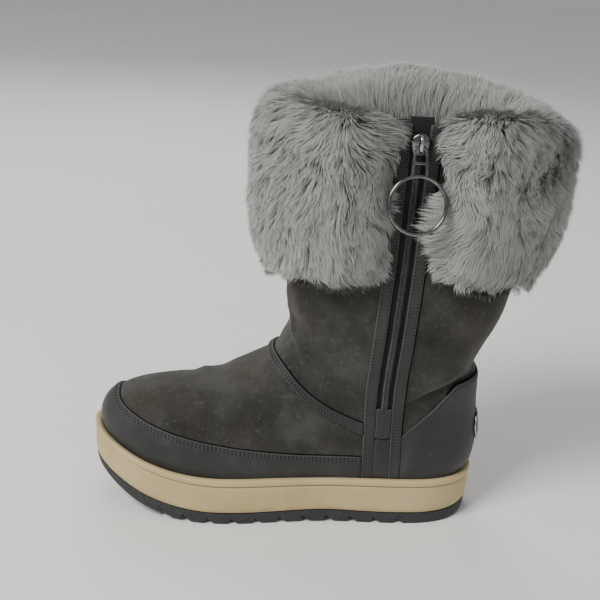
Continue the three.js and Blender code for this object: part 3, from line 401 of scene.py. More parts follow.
cream = Finish("cream_rubber", 0.58, specular=0.4)
wall_map = cream.node("ShaderNodeUVMap", uv_map="wall").outputs[0]
slanted = cream.node("ShaderNodeMapping", {"Vector": wall_map, "Rotation": (0, 0, 0.6), "Scale": (560, 560, 1)})
dots = cream.node("ShaderNodeTexVoronoi", {"Vector": slanted.outputs[0], "Scale": 1.0, "Randomness": 0.05})
dot = cream.ramp(dots.outputs["Distance"], (0.2, WHITE), (0.45, BLACK))
height_on_wall = cream.attribute("up")
below_groove = cream.ramp(height_on_wall, (0.76, WHITE), (0.79, BLACK))
blotch = cream.noise(22, 6, 0.6)
cream_base = cream.ramp(blotch, (0.3, srgb(187, 165, 118)), (0.52, srgb(199, 179, 132)),
                        (0.75, srgb(205, 187, 143)))
grime = cream.math("MULTIPLY", cream.ramp(height_on_wall, (0.0, WHITE), (0.22, BLACK)),
                   cream.ramp(cream.noise(60, 5, 0.7), *span(0.42, 0.7)))
tone = cream.mix(cream.math("MULTIPLY", grime, 0.55), cream_base, srgb(140, 122, 92))
# Painted shade: the thin groove under the lip is darkened towards dark brown as if shadowed.
groove_shade = cream.ramp(height_on_wall, (0.786, BLACK), (0.797, WHITE), (0.803, WHITE),
                       (0.812, BLACK))
tone = cream.mix(cream.math("MULTIPLY", groove_shade, 0.8), tone, srgb(92, 78, 56))
tone = cream.mix(cream.math("MULTIPLY", cream.math("MULTIPLY", dot, below_groove), 0.14), tone, srgb(150, 130, 96))
cream.colour(tone)
cream.bump(cream.math("MULTIPLY", dot, below_groove), 0.35, 0.0003)
cream.bump(cream.noise(900, 3), 0.06, 0.0002)
dress(cupsole, "boot", "cupsole_rubber", cream, replaces=["cupsole"])


# Upper
# One hollow boot of matte suede with a pile lining: its rings from the sole to the collar, in shares of the
# sole's length, the instep's height and the shaft's, give one smooth surface that all leather pieces lie on.
INSTEP, COLLAR, ANKLE, SHAFT = 121.0, 298.0, 82.0, 94.0
FOOT = np.array([  # front, its height, back, its height, sole's width, form, oval's width, widest place
    (0.974, 0.332, 0.021, 0.188, 0.885, 0, 0.93, 0.2), (0.976, 0.444, 0.018, 0.3, 0.89, 0, 0.93, 0.2),
    (0.98, 0.5, 0.007, 0.345, 0.915, 0.03, 0.94, 0.2), (0.975, 0.56, 0.002, 0.41, 0.925, 0.1, 0.95, 0.2),
    (0.962, 0.617, 0, 0.475, 0.9, 0.2, 0.95, 0.2), (0.942, 0.664, 0.001, 0.54, 0.86, 0.32, 0.95, 0.21),
    (0.91, 0.704, 0.004, 0.597, 0.81, 0.45, 0.95, 0.22), (0.868, 0.733, 0.007, 0.653, 0.75, 0.58, 0.96, 0.24),
    (0.81, 0.754, 0.011, 0.71, 0.67, 0.7, 0.97, 0.27), (0.739, 0.785, 0.014, 0.762, 0.6, 0.8, 0.98, 0.31),
    (0.676, 0.828, 0.015, 0.81, 0.56, 0.88, 0.99, 0.36), (0.616, 0.9, 0.016, 0.86, 0.55, 0.94, 1.0, 0.4),
    (0.57, 0.959, 0.017, 0.909, 0.55, 0.97, 1.02, 0.44),
])
LEG = np.array([  # front, its height, back, its height, half width
    (0.54, 0.011, 0.022, -0.025, 0.91), (0.523, 0.056, 0.028, 0.006, 0.92), (0.508, 0.113, 0.021, 0.045, 0.95),
    (0.509, 0.169, 0.006, 0.102, 0.98), (0.52, 0.22, -0.014, 0.164, 0.99), (0.525, 0.277, -0.033, 0.266, 1.0),
    (0.53, 0.44, -0.05, 0.44, 1.0), (0.532, 0.63, -0.052, 0.63, 1.0), (0.53, 0.82, -0.042, 0.82, 1.0),
    (0.527, 1.0, -0.028, 1.0, 1.0),
])
foot_rows = np.column_stack([
    SOLE_LENGTH * (0.5 - FOOT[:, 0]), SOLE_LENGTH * (0.5 - FOOT[:, 2]), FOOT[:, 1] * INSTEP,
    FOOT[:, 3] * INSTEP, FOOT[:, 4], FOOT[:, 5], FOOT[:, 6] * ANKLE / 2, FOOT[:, 7],
])
leg_rows = np.column_stack([
    SOLE_LENGTH * (0.5 - LEG[:, 0]), SOLE_LENGTH * (0.5 - LEG[:, 2]), INSTEP + LEG[:, 1] * (COLLAR - INSTEP),
    INSTEP + LEG[:, 3] * (COLLAR - INSTEP), np.full(10, 0.55), np.ones(10), LEG[:, 4] * SHAFT / 2,
    np.full(10, 0.5),
])
LAST_ROWS = np.concatenate([foot_rows, leg_rows])
TOP = len(LAST_ROWS) - 1


def bare_last(turn, s):
    """The last's face by turn round the foot and s, the ring counted up from the sole."""
    turn, s = np.broadcast_arrays(np.asarray(turn, float), np.asarray(s, float))
    turn = np.where(turn > 1, turn - 2, np.where(turn < -1, turn + 2, turn))
    k = np.clip(np.floor(s), 0, TOP - 1).astype(int)
    f = (s - k)[..., None]
    a, b, c, d = [LAST_ROWS[np.clip(k + n, 0, TOP)] for n in (-1, 0, 1, 2)]
    row = 0.5 * (2 * b + (c - a) * f + (2 * a - 5 * b + 4 * c - d) * f**2 + (3 * (b - c) + d - a) * f**3)
    front, back, front_z, back_z, girth, form, half, widest = np.moveaxis(row, -1, 0)
    side = np.where(turn < 0, -1.0, 1.0)
    sole = outline_at(turn)
    sole_x = back + (front - back) * (0.5 - sole[..., 0] / SOLE_LENGTH)
    angle = np.pi * np.abs(turn)
    middle = back + (front - back) * widest
    reach = np.where(np.cos(angle) > 0, front, back) - middle
    oval_x = middle + reach * np.abs(np.cos(angle)) ** (2 / 2.35)
    oval_y = side * half * np.abs(np.sin(angle)) ** (2 / 2.35)
    x = sole_x * (1 - form) + oval_x * form
    y = sole[..., 1] * girth * (1 - form) + oval_y * form
    share = (x - back) / (front - back)
    spring = rim_top(x) - (rim_top(back) * (1 - share) + rim_top(front) * share)
    return np.stack([x, y, back_z * (1 - share) + front_z * share + (1 - form) * spring], -1)


# Creases of the worn leather: points along each, its width, its height out of the face (or
# depth into it), and whether the inner side, which the photograph doesn't show, has one like it.
CREASES = [
    ([(86, -38, 97), (98.5, -37, 105), (109, -35, 110), (120, -30, 114.5), (131, -19, 116.4)], 3.6, -3.2, True),
    ([(84, -38, 108), (98, -37, 115), (110, -35, 120), (122, -28, 125)], 7, 2.6, True),
    ([(-3.7, -9, 156), (-1.2, -11.5, 150), (0.6, -16, 141), (4, -25, 136), (8, -30, 129), (10, -34, 117)],
     3.6, 2.2, True),
    ([(7, -30, 174), (16.5, -36, 161), (27.5, -40, 148.5), (34, -42, 138)], 8, -3.2, False),
    ([(-2, -16, 182), (3, -22, 170), (6, -27, 158)], 6, 1.6, True),
    ([(12, -35, 150), (18, -37, 140), (22, -38, 128)], 6, 1.4, False),
    ([(-9.5, 0.4, 126), (-5, -5, 134), (-1.3, -12, 140)], 1.0, 0.55, True),
    ([(-10, -4, 124), (-6, -9, 131), (-0.6, -16, 138)], 1.0, 0.55, True),
    ([(-60, -3, 97), (-61, -15, 94.6), (-64, -23, 90)], 3.4, 1.3, True),
    ([(-71.5, -10, 94), (-71.5, -16, 92), (-70.5, -25, 87)], 5, -1.3, True),
    ([(-53, 0, 100), (-52, -10, 98), (-50, -20, 94)], 5, -1.1, True),
    ([(-40, 4, 105), (-38, -10, 102), (-36, -24, 94), (-33, -34, 84)], 7, 0.9, True),
    ([(92, -40, 165), (104, -38, 158), (118, -34, 150), (130, -24, 146)], 8, -1.8, True),
    ([(90, -40, 140), (104, -38, 136), (120, -32, 134)], 7, 1.5, False),
    ([(-8, 0, 172), (2, -22, 168)], 8, -1.0, True),
]


def crease_height(points):
    """How far the creases lift or sink the face at points of the bare last."""
    points = np.asarray(points, float)
    x, y, z = np.moveaxis(points, -1, 0)
    total = 0.35 * np.sin(x / 9.7 + z / 14) * np.sin(z / 11.3 + y / 17) * ease((z - 66) / 30)
    for line, width, height, both in CREASES:
        line = np.array(line, float)
        for side in (1, -1) if both else (1,):
            ends = line * (1, side, 1)
            best = np.full(points.shape[:-1], 1e9)
            fade = np.ones(points.shape[:-1])
            lengths = np.linalg.norm(np.diff(ends, axis=0), axis=1)
            for n in range(len(ends) - 1):
                a, b = ends[n], ends[n + 1]
                t = np.clip(((points - a) @ (b - a)) / (lengths[n] ** 2), 0, 1)
                apart = np.linalg.norm(points - (a + t[..., None] * (b - a)), axis=-1)
                along = (lengths[:n].sum() + t * lengths[n]) / lengths.sum()
                fade = np.where(apart < best, np.sin(np.pi * (0.12 + 0.76 * along)) ** 0.7, fade)
                best = np.minimum(best, apart)
            total = total + height * fade * np.exp(-((best / width) ** 2))
    return total


def face_at(turn, s, out=0.0, creased=True):
    """The leather's face, moved out of it by some millimetres."""
    base = bare_last(turn, s)
    around = bare_last(turn + 0.01, s) - bare_last(turn - 0.01, s)
    rising = bare_last(turn, np.minimum(s + 0.2, TOP)) - bare_last(turn, np.maximum(s - 0.2, 0))
    normal = np.cross(rising, around)
    normal /= np.linalg.norm(normal, axis=-1, keepdims=True)
    lift = crease_height(base) if creased else 0.0
    return base + normal * np.asarray(out + lift)[..., None]


def halving(wrong, low, high):
    """The value between low and high where a rising rule stops being short."""
    low, high = np.array(low, float), np.array(high, float)
    for _ in range(22):
        middle = (low + high) / 2
        short = wrong(middle)
        low, high = np.where(short, middle, low), np.where(short, high, middle)
    return low


def ring_at(turn, height):
    """Ring at which the meridian of a turn reaches a height, a number or a rule of x."""
    turn = np.asarray(turn, float)

    def short(s):
        p = bare_last(turn, s)
        return p[..., 2] < (height(p[..., 0]) if callable(height) else height)

    return halving(short, np.zeros(turn.shape), np.full(turn.shape, float(TOP)))


def turn_at(x, s, side=-1):
    """Turn at which a ring passes x on the outer side (-1) or the inner side (1)."""
    x, s = np.broadcast_arrays(np.asarray(x, float), np.asarray(s, float))
    return side * halving(lambda t: bare_last(side * t, s)[..., 0] < x, np.zeros(x.shape), np.ones(x.shape))


def beside(x, z, out=0.0, side=-1):
    """Point of the boot's side at x and z; above the collar it goes straight up."""
    x, z = np.broadcast_arrays(np.asarray(x, float), np.asarray(z, float))
    turn = np.full(x.shape, side / 2)
    for _ in range(3):
        s = ring_at(turn, np.minimum(z, COLLAR))
        turn = turn_at(x, s, side)
    p = face_at(turn, s, out)
    p[..., 2] = np.where(z > COLLAR, z, p[..., 2])
    return p


ZIP_UP = np.array([0.12, 0.24, 0.37, 0.45, 0.55, 0.69, 0.84, 1.0]) * COLLAR
ZIP_BACK = SOLE_LENGTH * (0.5 - np.array([0.256, 0.261, 0.267, 0.265, 0.261, 0.256, 0.254, 0.252]))
SLOT, SLOT_RING, SLOT_ROW, WALL_THICK = 7.9, 6, 33, 2.6


def zip_x(z):
    return np.interp(z, ZIP_UP, ZIP_BACK)


ROWS, SLOT_CELLS, OTHER_CELLS = 118, 4, 236
below_slot = np.linspace(0, SLOT_RING, SLOT_ROW, endpoint=False)
ring_list = np.concatenate([below_slot, np.linspace(SLOT_RING, TOP, ROWS - SLOT_ROW)])
slot_height = bare_last(np.full(ROWS, -0.46), ring_list)[:, 2]
slot_front = turn_at(zip_x(slot_height) - SLOT, ring_list)
slot_back = turn_at(zip_x(slot_height) + SLOT, ring_list)
share_slot, share_other = [np.linspace(0, 1, cells, endpoint=False) for cells in (SLOT_CELLS, OTHER_CELLS)]
turns = np.concatenate([
    slot_front[:, None] + (slot_back - slot_front)[:, None] * share_slot,
    slot_back[:, None] + (slot_front - 2 - slot_back)[:, None] * share_other,
], axis=1)
COLUMNS = turns.shape[1]
rings_by_column = np.repeat(ring_list[:, None], COLUMNS, 1)
outer_skin = face_at(turns, rings_by_column).reshape(-1, 3)
lining_skin = face_at(turns, rings_by_column, -WALL_THICK).reshape(-1, 3)
behind = ROWS * COLUMNS
upper_faces, face_slots = [], []
is_open = lambda r, i: r < 0 or r >= ROWS - 1 or (i % COLUMNS < SLOT_CELLS and r >= SLOT_ROW)
for r in range(ROWS - 1):
    for i in range(COLUMNS):
        if is_open(r, i):
            continue
        a, b = r * COLUMNS + i, r * COLUMNS + (i + 1) % COLUMNS
        c, d = b + COLUMNS, a + COLUMNS
        quads = [(a, b, c, d), (b + behind, a + behind, d + behind, c + behind)]
        edges = [(b, a, r - 1, i), (d, c, r + 1, i), (a, d, r, i - 1), (c, b, r, i + 1)]
        quads += [(p, q, q + behind, p + behind) for p, q, rr, ii in edges if is_open(rr, ii)]
        upper_faces += quads
        face_slots += [0, 1] + [0] * (len(quads) - 2)
upper = piece_from("suede_upper", np.concatenate([outer_skin, lining_skin]), upper_faces)
recalculated(upper)

suede = Finish("grey_suede", 0.9, sheen=0.18, specular=0.22)
cloud = suede.noise(26, 5, 0.62)
fleck = suede.noise(320, 5, 0.7)
nap = suede.noise(1500, 3, 0.6)
brown = suede.noise(17, 4, 0.5, suede.stretched(1, 1, 0.7))
base = suede.ramp(cloud, (0.3, srgb(34, 33, 31)), (0.5, srgb(51, 50, 47)), (0.7, srgb(72, 71, 67)))
base = suede.mix(suede.math("MULTIPLY", suede.ramp(brown, *span(0.48, 0.68)), 0.4), base, srgb(74, 68, 58))
base = suede.mix(suede.math("MULTIPLY", suede.ramp(fleck, *span(0.56, 0.74)), 0.32), base, srgb(112, 110, 104))
pitted = suede.math("MULTIPLY", suede.ramp(fleck, (0.28, WHITE), (0.42, BLACK)), 0.35)
base = suede.mix(pitted, base, srgb(34, 33, 31))
scuff = suede.ramp(suede.noise(60, 6, 0.75, suede.stretched(0.5, 0.5, 1.6)), *span(0.6, 0.72))
base = suede.mix(suede.math("MULTIPLY", scuff, 0.22), base, srgb(108, 106, 100))
suede.colour(base)
suede.bump(cloud, 0.25, 0.0012)
suede.bump(fleck, 0.35, 0.0004)
suede.bump(nap, 0.4, 0.00022)

pile_lining = Finish("pile_lining", 0.95, sheen=0.3, specular=0.15)
curl = pile_lining.noise(260, 5, 0.7)
pile_lining.colour(pile_lining.ramp(curl, (0.3, srgb(104, 106, 106)), (0.7, srgb(168, 171, 170))))
pile_lining.bump(curl, 0.8, 0.0018)
dress(upper, "boot", "suede", suede, pile_lining, replaces=["upper"])
upper.data.polygons.foreach_set("material_index", face_slots)

outer_grid = piece_from("upper_face", outer_skin, grid_faces(ROWS, COLUMNS, True))
leather_face = BVHTree.FromObject(outer_grid, bpy.context.evaluated_depsgraph_get())
bpy.data.objects.remove(outer_grid)


# Insole
# A footbed of grey pile on foam, lying on the tray's floor inside the upper, with a rounded upper edge.
foot_turns = turns_round(160)
insole_rings = []
for inset, up in ((0.9, 0), (0.7, 1.5), (0.7, 3.4), (1.2, 4.5), (2.4, 5.1), (5, 5.3)):
    p = face_at(foot_turns, 0.0, -WALL_THICK - inset, creased=False)
    p[:, 2] = rim_top(p[:, 0]) - 13.5 + up
    insole_rings.append(p)
insole = piece_from("footbed", np.concatenate(insole_rings), closed_by_rings(insole_rings))
recalculated(insole)
footbed_pile = Finish("footbed_pile", 0.95, sheen=0.3, specular=0.15)
tuft = footbed_pile.noise(330, 5, 0.7)
footbed_pile.colour(footbed_pile.ramp(tuft, (0.3, srgb(112, 113, 112)), (0.7, srgb(160, 161, 159))))
footbed_pile.bump(tuft, 0.7, 0.0012)
dress(insole, "boot", "insole_fabric", footbed_pile, replaces=["insole"])


# Toe guard, heel counter and ankle binding
# Panels of smooth dark nubuck, skived and sewn onto the suede: the guard round the toe and the counter round
# the heel go down into the cupsole, the binding covers the seam between vamp and shaft.
LEATHER, SEAT_DEPTH = 1.5, 0.4
THREAD_PROUD, PROBE = 0.05, 6.0
GUARD_EDGE = ((0.06, 0.7), (0.065, 0.68), (0.07, 0.64), (0.1, 0.608), (0.145, 0.571), (0.215, 0.534),
              (0.273, 0.514), (0.356, 0.493), (0.44, 0.477), (0.535, 0.459), (0.69, 0.443))
BINDING_TOP = ((0.454, 1.007), (0.464, 1.005), (0.484, 0.974), (0.507, 0.919), (0.538, 0.854), (0.567, 0.804),
               (0.603, 0.751), (0.64, 0.713), (0.681, 0.674), (0.72, 0.64))
BINDING_LOW = ((0.443, 0.984), (0.446, 0.975), (0.465, 0.947), (0.496, 0.886), (0.535, 0.793), (0.577, 0.722),
               (0.63, 0.653), (0.685, 0.593), (0.72, 0.56))
COUNTER_EDGE = ((0.69, 0.53), (0.796, 0.582), (0.815, 0.612), (0.845, 0.707), (0.868, 0.784), (0.89, 0.856),
                (0.913, 0.915), (0.957, 0.93), (0.985, 0.94))
SIDE_SEAM, BY_STRIP = SOLE_LENGTH * (0.5 - 0.312), 14.25


def edge_rule(table):
    """Height of a panel's edge as a smooth rule of x."""
    rows = np.array(table, float)
    x, z = SOLE_LENGTH * (rows[:, 0] - 0.5), rows[:, 1] * INSTEP
    fine = np.linspace(x[0], x[-1], 400)
    drawn = np.interp(fine, x, z)
    reach = int(5.5 / (fine[1] - fine[0]))
    window = np.hanning(2 * reach + 3)[1:-1]
    soft = np.convolve(np.pad(drawn, reach, mode="edge"), window / window.sum(), mode="valid")
    blend = np.minimum(1, np.minimum(fine - fine[0], fine[-1] - fine) / 6)
    return lambda at: np.interp(at, fine, drawn * (1 - blend) + soft * blend)


def skin_and_back(rows, count):
    """Faces of a grid, of one like it behind, and of the wall round the rim of both."""
    behind = rows * count
    faces = grid_faces(rows, count) + [f[::-1] for f in grid_faces(rows, count, start=behind)]
    rim = [*range(count), *[r * count + count - 1 for r in range(1, rows)],
           *range(behind - 2, behind - count - 1, -1), *[r * count for r in range(rows - 2, 0, -1)]]
    return faces + [(rim[n], rim[n - 1], rim[n - 1] + behind, rim[n] + behind) for n in range(len(rim))]


def leather_panel(name, turns, s, thick=LEATHER, free="both ends and edges"):
    """A skin on the last over a grid of turns and rings, rounded down at its free edges, with a back."""
    face = face_at(turns, s)
    up = np.cumsum(np.pad(np.linalg.norm(np.diff(face, axis=0), axis=2), ((1, 0), (0, 0))), axis=0)
    along = np.cumsum(np.pad(np.linalg.norm(np.diff(face, axis=1), axis=2), ((0, 0), (1, 0))), axis=1)
    gaps = [up[-1] - up]
    gaps += [] if free == "top" else [up]
    gaps += [along, along[:, -1:] - along] if "ends" in free else []
    near = np.minimum.reduce(gaps)
    out = 0.05 + thick * np.sqrt(np.clip(1 - (1 - np.clip(near / 0.8, 0, 1)) ** 2, 0, 1))
    points = [face_at(turns, s, lift).reshape(-1, 3) for lift in (out, -SEAT_DEPTH)]
    panel = piece_from(name, np.concatenate(points), skin_and_back(*s.shape))
    panel.data.attributes.new("edge", "FLOAT", "POINT").data.foreach_set("value", np.tile(near.ravel(), 2))
    return recalculated(panel)


def edge_shares(length, cells, low=True, high=True):
    """Shares of a length in millimetres, close together next to a free edge so that it can be rounded."""
    length = np.asarray(length, float)
    close = np.array([0.0, 0.1, 0.28, 0.55, 0.95, 1.5])
    first = [c / length for c in close] if low else [0 * length]
    last = [1 - c / length for c in close[::-1]] if high else [0 * length + 1]
    between = [first[-1] + (last[0] - first[-1]) * n / cells for n in range(1, cells)]
    return np.stack([*first, *between, *last])


def ruled_panel(name, first, last, bottom, top, columns, rows, free):
    """A panel between two end rules, turns by ring, and two edge rules, heights by x."""
    along = edge_shares(250.0, columns, "ends" in free, "ends" in free)

    def edge(rule):
        if not callable(rule):
            return np.full(along.shape, float(rule))
        ends = np.array([4.6, 4.6])
        for _ in range(24):
            at = np.concatenate([first(ends[:1]), last(ends[1:])])
            ends = ends * 0.6 + ring_at(at, rule) * 0.4
        return ring_at(at[0] * (1 - along) + at[1] * along, rule)

    low, high = edge(bottom), edge(top)
    reach = 10 * np.maximum(high - low, 0.4)
    share = edge_shares(reach, rows, free != "top", True)
    s = low * (1 - share) + high * share
    turns = first(s[:, 0])[:, None] * (1 - along) + last(s[:, -1])[:, None] * along
    return leather_panel(name, turns, s, free=free), turns, s


def zip_side(distance):
    """Rule that gives, ring by ring, the turn at a distance from the zip's line."""
    def rule(s):
        turn = np.full(np.shape(s), -0.7)
        for _ in range(3):
            turn = turn_at(zip_x(bare_last(turn, s)[..., 2]) + distance, s)
        return turn
    return rule


def inner_seam(x, behind=False):
    """Rule for the seam across the inner side, which the photograph doesn't show."""
    return lambda s: turn_at(np.full(np.shape(s), float(x)), s, 1) - (2 if behind else 0)


def on_leather(points, out):
    """Points brought onto the upper's face and lifted out of it, with the face's normals."""
    found = [leather_face.find_nearest(Vector(p)) for p in placed(points)]
    spots = np.array([f[0] for f in found]) * 1000 - PLACE
    normals = np.array([f[1] for f in found])
    return spots + normals * out, normals


def beside_line(line, aside, out, step=0.6):
    """A line on the leather at even steps, moved to its right as seen from outside, and its normals."""
    line = np.asarray(line, float)
    run = np.concatenate([[0], np.cumsum(np.linalg.norm(np.diff(line, axis=0), axis=1))])
    at = np.linspace(0, run[-1], int(run[-1] / step) + 2)
    spots, normals = on_leather(np.stack([np.interp(at, run, line[:, n]) for n in range(3)], 1), 0.0)
    ahead = np.gradient(spots, axis=0)
    right = np.cross(ahead, normals)
    return on_leather(spots + right / np.linalg.norm(right, axis=1, keepdims=True) * aside, out)


def cord_along(line, normals, radius, sides=6, flat=0.75):
    """Points and faces of a thin cord laid along a line, its ends drawn in."""
    right = np.cross(np.gradient(line, axis=0), normals)
    right /= np.linalg.norm(right, axis=1, keepdims=True)
    size = np.full((len(line), 1), float(radius))
    size[[0, -1]] *= 0.2
    turn = 2 * np.pi * np.arange(sides) / sides
    points = np.stack([line + size * (right * np.cos(a) + normals * np.sin(a) * flat) for a in turn], 1)
    faces = grid_faces(len(line), sides, True)
    faces += [tuple(range(sides))[::-1], tuple((len(line) - 1) * sides + n for n in range(sides))]
    return points.reshape(-1, 3), faces


def joined(name, parts):
    """One piece from many sets of points and faces."""
    start, points, faces = 0, [], []
    for p, f in parts:
        points.append(p)
        faces += [tuple(start + n for n in face) for face in f]
        start += len(p)
    return piece_from(name, np.concatenate(points), faces)


threads, pricks, edge_shadow_cords = [], [], []


def stitch_row(line, aside, panel, pitch=2.5, gap=1.15, radius=0.32):
    """A row of stitches on a panel beside a line, with a long dark disc of painted shade for the needle hole between
    each two.
    """
    spots, normals = beside_line(line, aside, 0.0)
    face = BVHTree.FromObject(panel, bpy.context.evaluated_depsgraph_get())
    from_above = zip(placed(spots + normals * PROBE), normals)
    found = [face.ray_cast(Vector(p), Vector(-n), 2 * PROBE / 1000)[3] for p, n in from_above]
    high = np.array([LEATHER + 2 * THREAD_PROUD if d is None else PROBE + THREAD_PROUD - d * 1000 for d in found])
    spots = spots + normals * np.convolve(np.pad(high, 2, mode="edge"), np.ones(5) / 5, mode="valid")[:, None]
    run = np.concatenate([[0], np.cumsum(np.linalg.norm(np.diff(spots, axis=0), axis=1))])
    pick = lambda at, values: np.stack([np.interp(at, run, values[:, n]) for n in range(3)], -1)
    for start in np.arange(gap, run[-1] - pitch, pitch):
        at = start + (pitch - gap) * np.array([-0.1, 0.15, 0.85, 1.1])
        n = pick(at, normals)
        threads.append(cord_along(pick(at, spots) + n * np.array([-0.2, 0.05, 0.05, -0.2])[:, None], n, radius, 5))
        at = start - gap / 2 + 0.62 * gap * np.array([-1.0, 0.0, 1.0])
        (back, centre, front), n = pick(at, spots), pick(at[1:2], normals)[0]
        across = np.cross(front - back, n)
        across *= 0.5 / np.linalg.norm(across)
        half = (front - back) / 2
        rim = [centre + half * math.cos(a) + across * math.sin(a) - n * 0.1 for a in np.arange(8) * math.pi / 4]
        pricks.append((np.array([*rim, centre + n * 0.1]),
                       [(k, (k + 1) % 8, 8) for k in range(8)] + [tuple(range(7, -1, -1))]))


def shadow_line_cord(line, aside, out, radius=0.5):
    """A black cord in the corner beside a panel's edge: partly the panel's dyed cut edge, partly painted shadow along
    the edge.
    """
    spots, normals = beside_line(line, aside, out, 1.2)
    edge_shadow_cords.append(cord_along(spots, normals, radius, 6))


nubuck = Finish("dark_nubuck", 0.6, sheen=0.1, specular=0.38)
soft_cloud = nubuck.noise(30, 5, 0.6)
grain = nubuck.noise(900, 4, 0.6)
hide = nubuck.ramp(soft_cloud, (0.3, srgb(33, 34, 34)), (0.52, srgb(43, 44, 44)), (0.74, srgb(57, 58, 58)))
worn = nubuck.math("MULTIPLY", nubuck.ramp(nubuck.noise(75, 6, 0.72), *span(0.58, 0.72)), 0.3)
hide = nubuck.mix(worn, hide, srgb(86, 87, 87))
pored = nubuck.math("MULTIPLY", nubuck.ramp(grain, (0.3, WHITE), (0.45, BLACK)), 0.25)
hide = nubuck.mix(pored, hide, srgb(36, 37, 38))
# Lighter band along every free edge of the panels: partly edge wear, partly a painted highlight on the rounded edge.
worn_and_lit_edge = nubuck.ramp(nubuck.attribute("edge"), (0.05, BLACK), (0.2, WHITE), (0.5, WHITE), (0.8, BLACK))
nubuck.colour(nubuck.mix(nubuck.math("MULTIPLY", worn_and_lit_edge, 0.35), hide, srgb(104, 104, 103)))
nubuck.roughness(nubuck.ramp(soft_cloud, (0.3, grey(0.5)), (0.7, grey(0.66))))
nubuck.bump(soft_cloud, 0.2, 0.001)
nubuck.bump(grain, 0.22, 0.00018)

guard_rule, binding_top, binding_low, counter_rule = [
    edge_rule(table) for table in (GUARD_EDGE, BINDING_TOP, BINDING_LOW, COUNTER_EDGE)]
toe_guard, guard_turns, guard_rings = ruled_panel(
    "toe_guard_leather", zip_side(-BY_STRIP), inner_seam(SIDE_SEAM - 0.2), 0.5, guard_rule, 200, 12, "top")
heel_counter, counter_turns, counter_rings = ruled_panel(
    "heel_counter_leather", zip_side(BY_STRIP), inner_seam(SIDE_SEAM + 0.2, behind=True), 0.5, counter_rule,
    110, 22, "top")
ankle_binding, binding_turns, binding_rings = ruled_panel(
    "ankle_binding_leather", zip_side(-BY_STRIP), inner_seam(SIDE_SEAM + 5), binding_low, binding_top,
    120, 4, "edges")
for panel, node in ((toe_guard, "toe_guard"), (heel_counter, "heel_counter"), (ankle_binding, "ankle_binding")):
    dress(panel, "boot", "nubuck", nubuck, replaces=[node])

guard_edge = face_at(guard_turns[-1], guard_rings[-1])
stitch_row(guard_edge, -1.6, toe_guard, 2.9, 1.35)
stitch_row(guard_edge, -3.6, toe_guard, 2.9, 1.35)
# Painted shadow: a thin dark line just above the guard's edge.
shadow_line_cord(guard_edge, 0.35, 0.2, 0.35)
counter_edge = face_at(counter_turns[-1], counter_rings[-1])
stitch_row(counter_edge, 2.2, heel_counter)
# Painted shadow: a dark cord in the crease along the top of the counter.
high_edge = np.flatnonzero(counter_edge[:, 2] > 0.9 * counter_edge[:, 2].max())
shadow_line_cord(counter_edge[high_edge[0]:high_edge[-1] + 1], -0.6, 0.5, 0.8)
binding_edge = face_at(binding_turns[-1], binding_rings[-1])
stitch_row(binding_edge, -1.9, ankle_binding)
stitch_row(face_at(binding_turns[0], binding_rings[0]), 1.7, ankle_binding)
# Painted shadow: a thin dark line above the binding's top edge.
shadow_line_cord(binding_edge, 0.35, 0.35)


# Zip strips, tab and base
# Narrow nubuck strips turned under along both sides of the zip, a folded tab over its lower end and a plain
# base below it down to the sole, each stitched through to the upper.
STRIP_INNER, STRIP_OUTER, STRIP_LOW, STRIP_HIGH = 5.7, 14.0, 35.5, 297.0
TAB_LOW, TAB_HIGH, TAB_HALF, TAB_SAG = 69.6, 93.3, 5.5, 1.4


def side_grid(offsets, heights):
    """Turns and rings of a grid beside the zip's line, from distances to it and heights."""
    z = np.broadcast_to(heights, np.broadcast_shapes(np.shape(offsets), np.shape(heights)))
    x = zip_x(z) + offsets
    turn = np.full(z.shape, -0.6)
    for _ in range(4):
        s = ring_at(turn, z)
        turn = turn_at(x, s)
    return turn, s


strip_heights = STRIP_LOW + (STRIP_HIGH - STRIP_LOW) * np.linspace(0, 1, 180)[:, None]
across = STRIP_OUTER - STRIP_INNER
for name, way in (("front", -1), ("rear", 1)):
    offsets = way * (STRIP_INNER + across * edge_shares(across, 6))[None, :]
    if way < 0:
        offsets = offsets[:, ::-1]
    strip = leather_panel("zip_strip_" + name + "_leather", *side_grid(offsets, strip_heights))
    dress(strip, "boot", "nubuck", nubuck, replaces=["zip_strip_" + name])
    for distance in (STRIP_INNER + 1.5, STRIP_OUTER - 1.6):
        stitch_row(beside(zip_x(strip_heights[:, 0]) + way * distance, strip_heights[:, 0]), 0, strip)
    if way > 0:
        # Painted shadow: a thin dark line beside the rear strip's outer edge.
        shadow_line_cord(beside(zip_x(strip_heights[:, 0]) + STRIP_OUTER + 0.3, strip_heights[:, 0]), 0, 0.4)
tab_up = edge_shares(TAB_HIGH - TAB_LOW, 16)
tab_offsets = TAB_HALF * (2 * edge_shares(2 * TAB_HALF, 6) - 1)[None, :]
sag = lambda offset: TAB_SAG * (1 - (offset / TAB_HALF) ** 2)
tab_z = TAB_LOW + (TAB_HIGH - TAB_LOW) * tab_up[:, None] - sag(tab_offsets) * (1 - tab_up[:, None])
tab = leather_panel("zip_tab_leather", *side_grid(tab_offsets, tab_z), thick=1.7)
dress(tab, "boot", "nubuck", nubuck, replaces=["zip_tab"])
base_up = STRIP_LOW + (TAB_LOW - 1.9 - STRIP_LOW) * np.linspace(0, 1, 14)[:, None]
base = leather_panel("zip_base_leather", *side_grid(tab_offsets, base_up), thick=1.2)
dress(base, "boot", "nubuck", nubuck, replaces=["zip_base"])
over_tab = np.linspace(-TAB_HALF + 0.4, TAB_HALF - 0.4, 12)
stitch_row(beside(zip_x(90.6) + over_tab, np.full(12, 90.9)), 0, tab)
stitch_row(beside(zip_x(66.0) + over_tab, 66.2 - sag(over_tab)), 0, base)

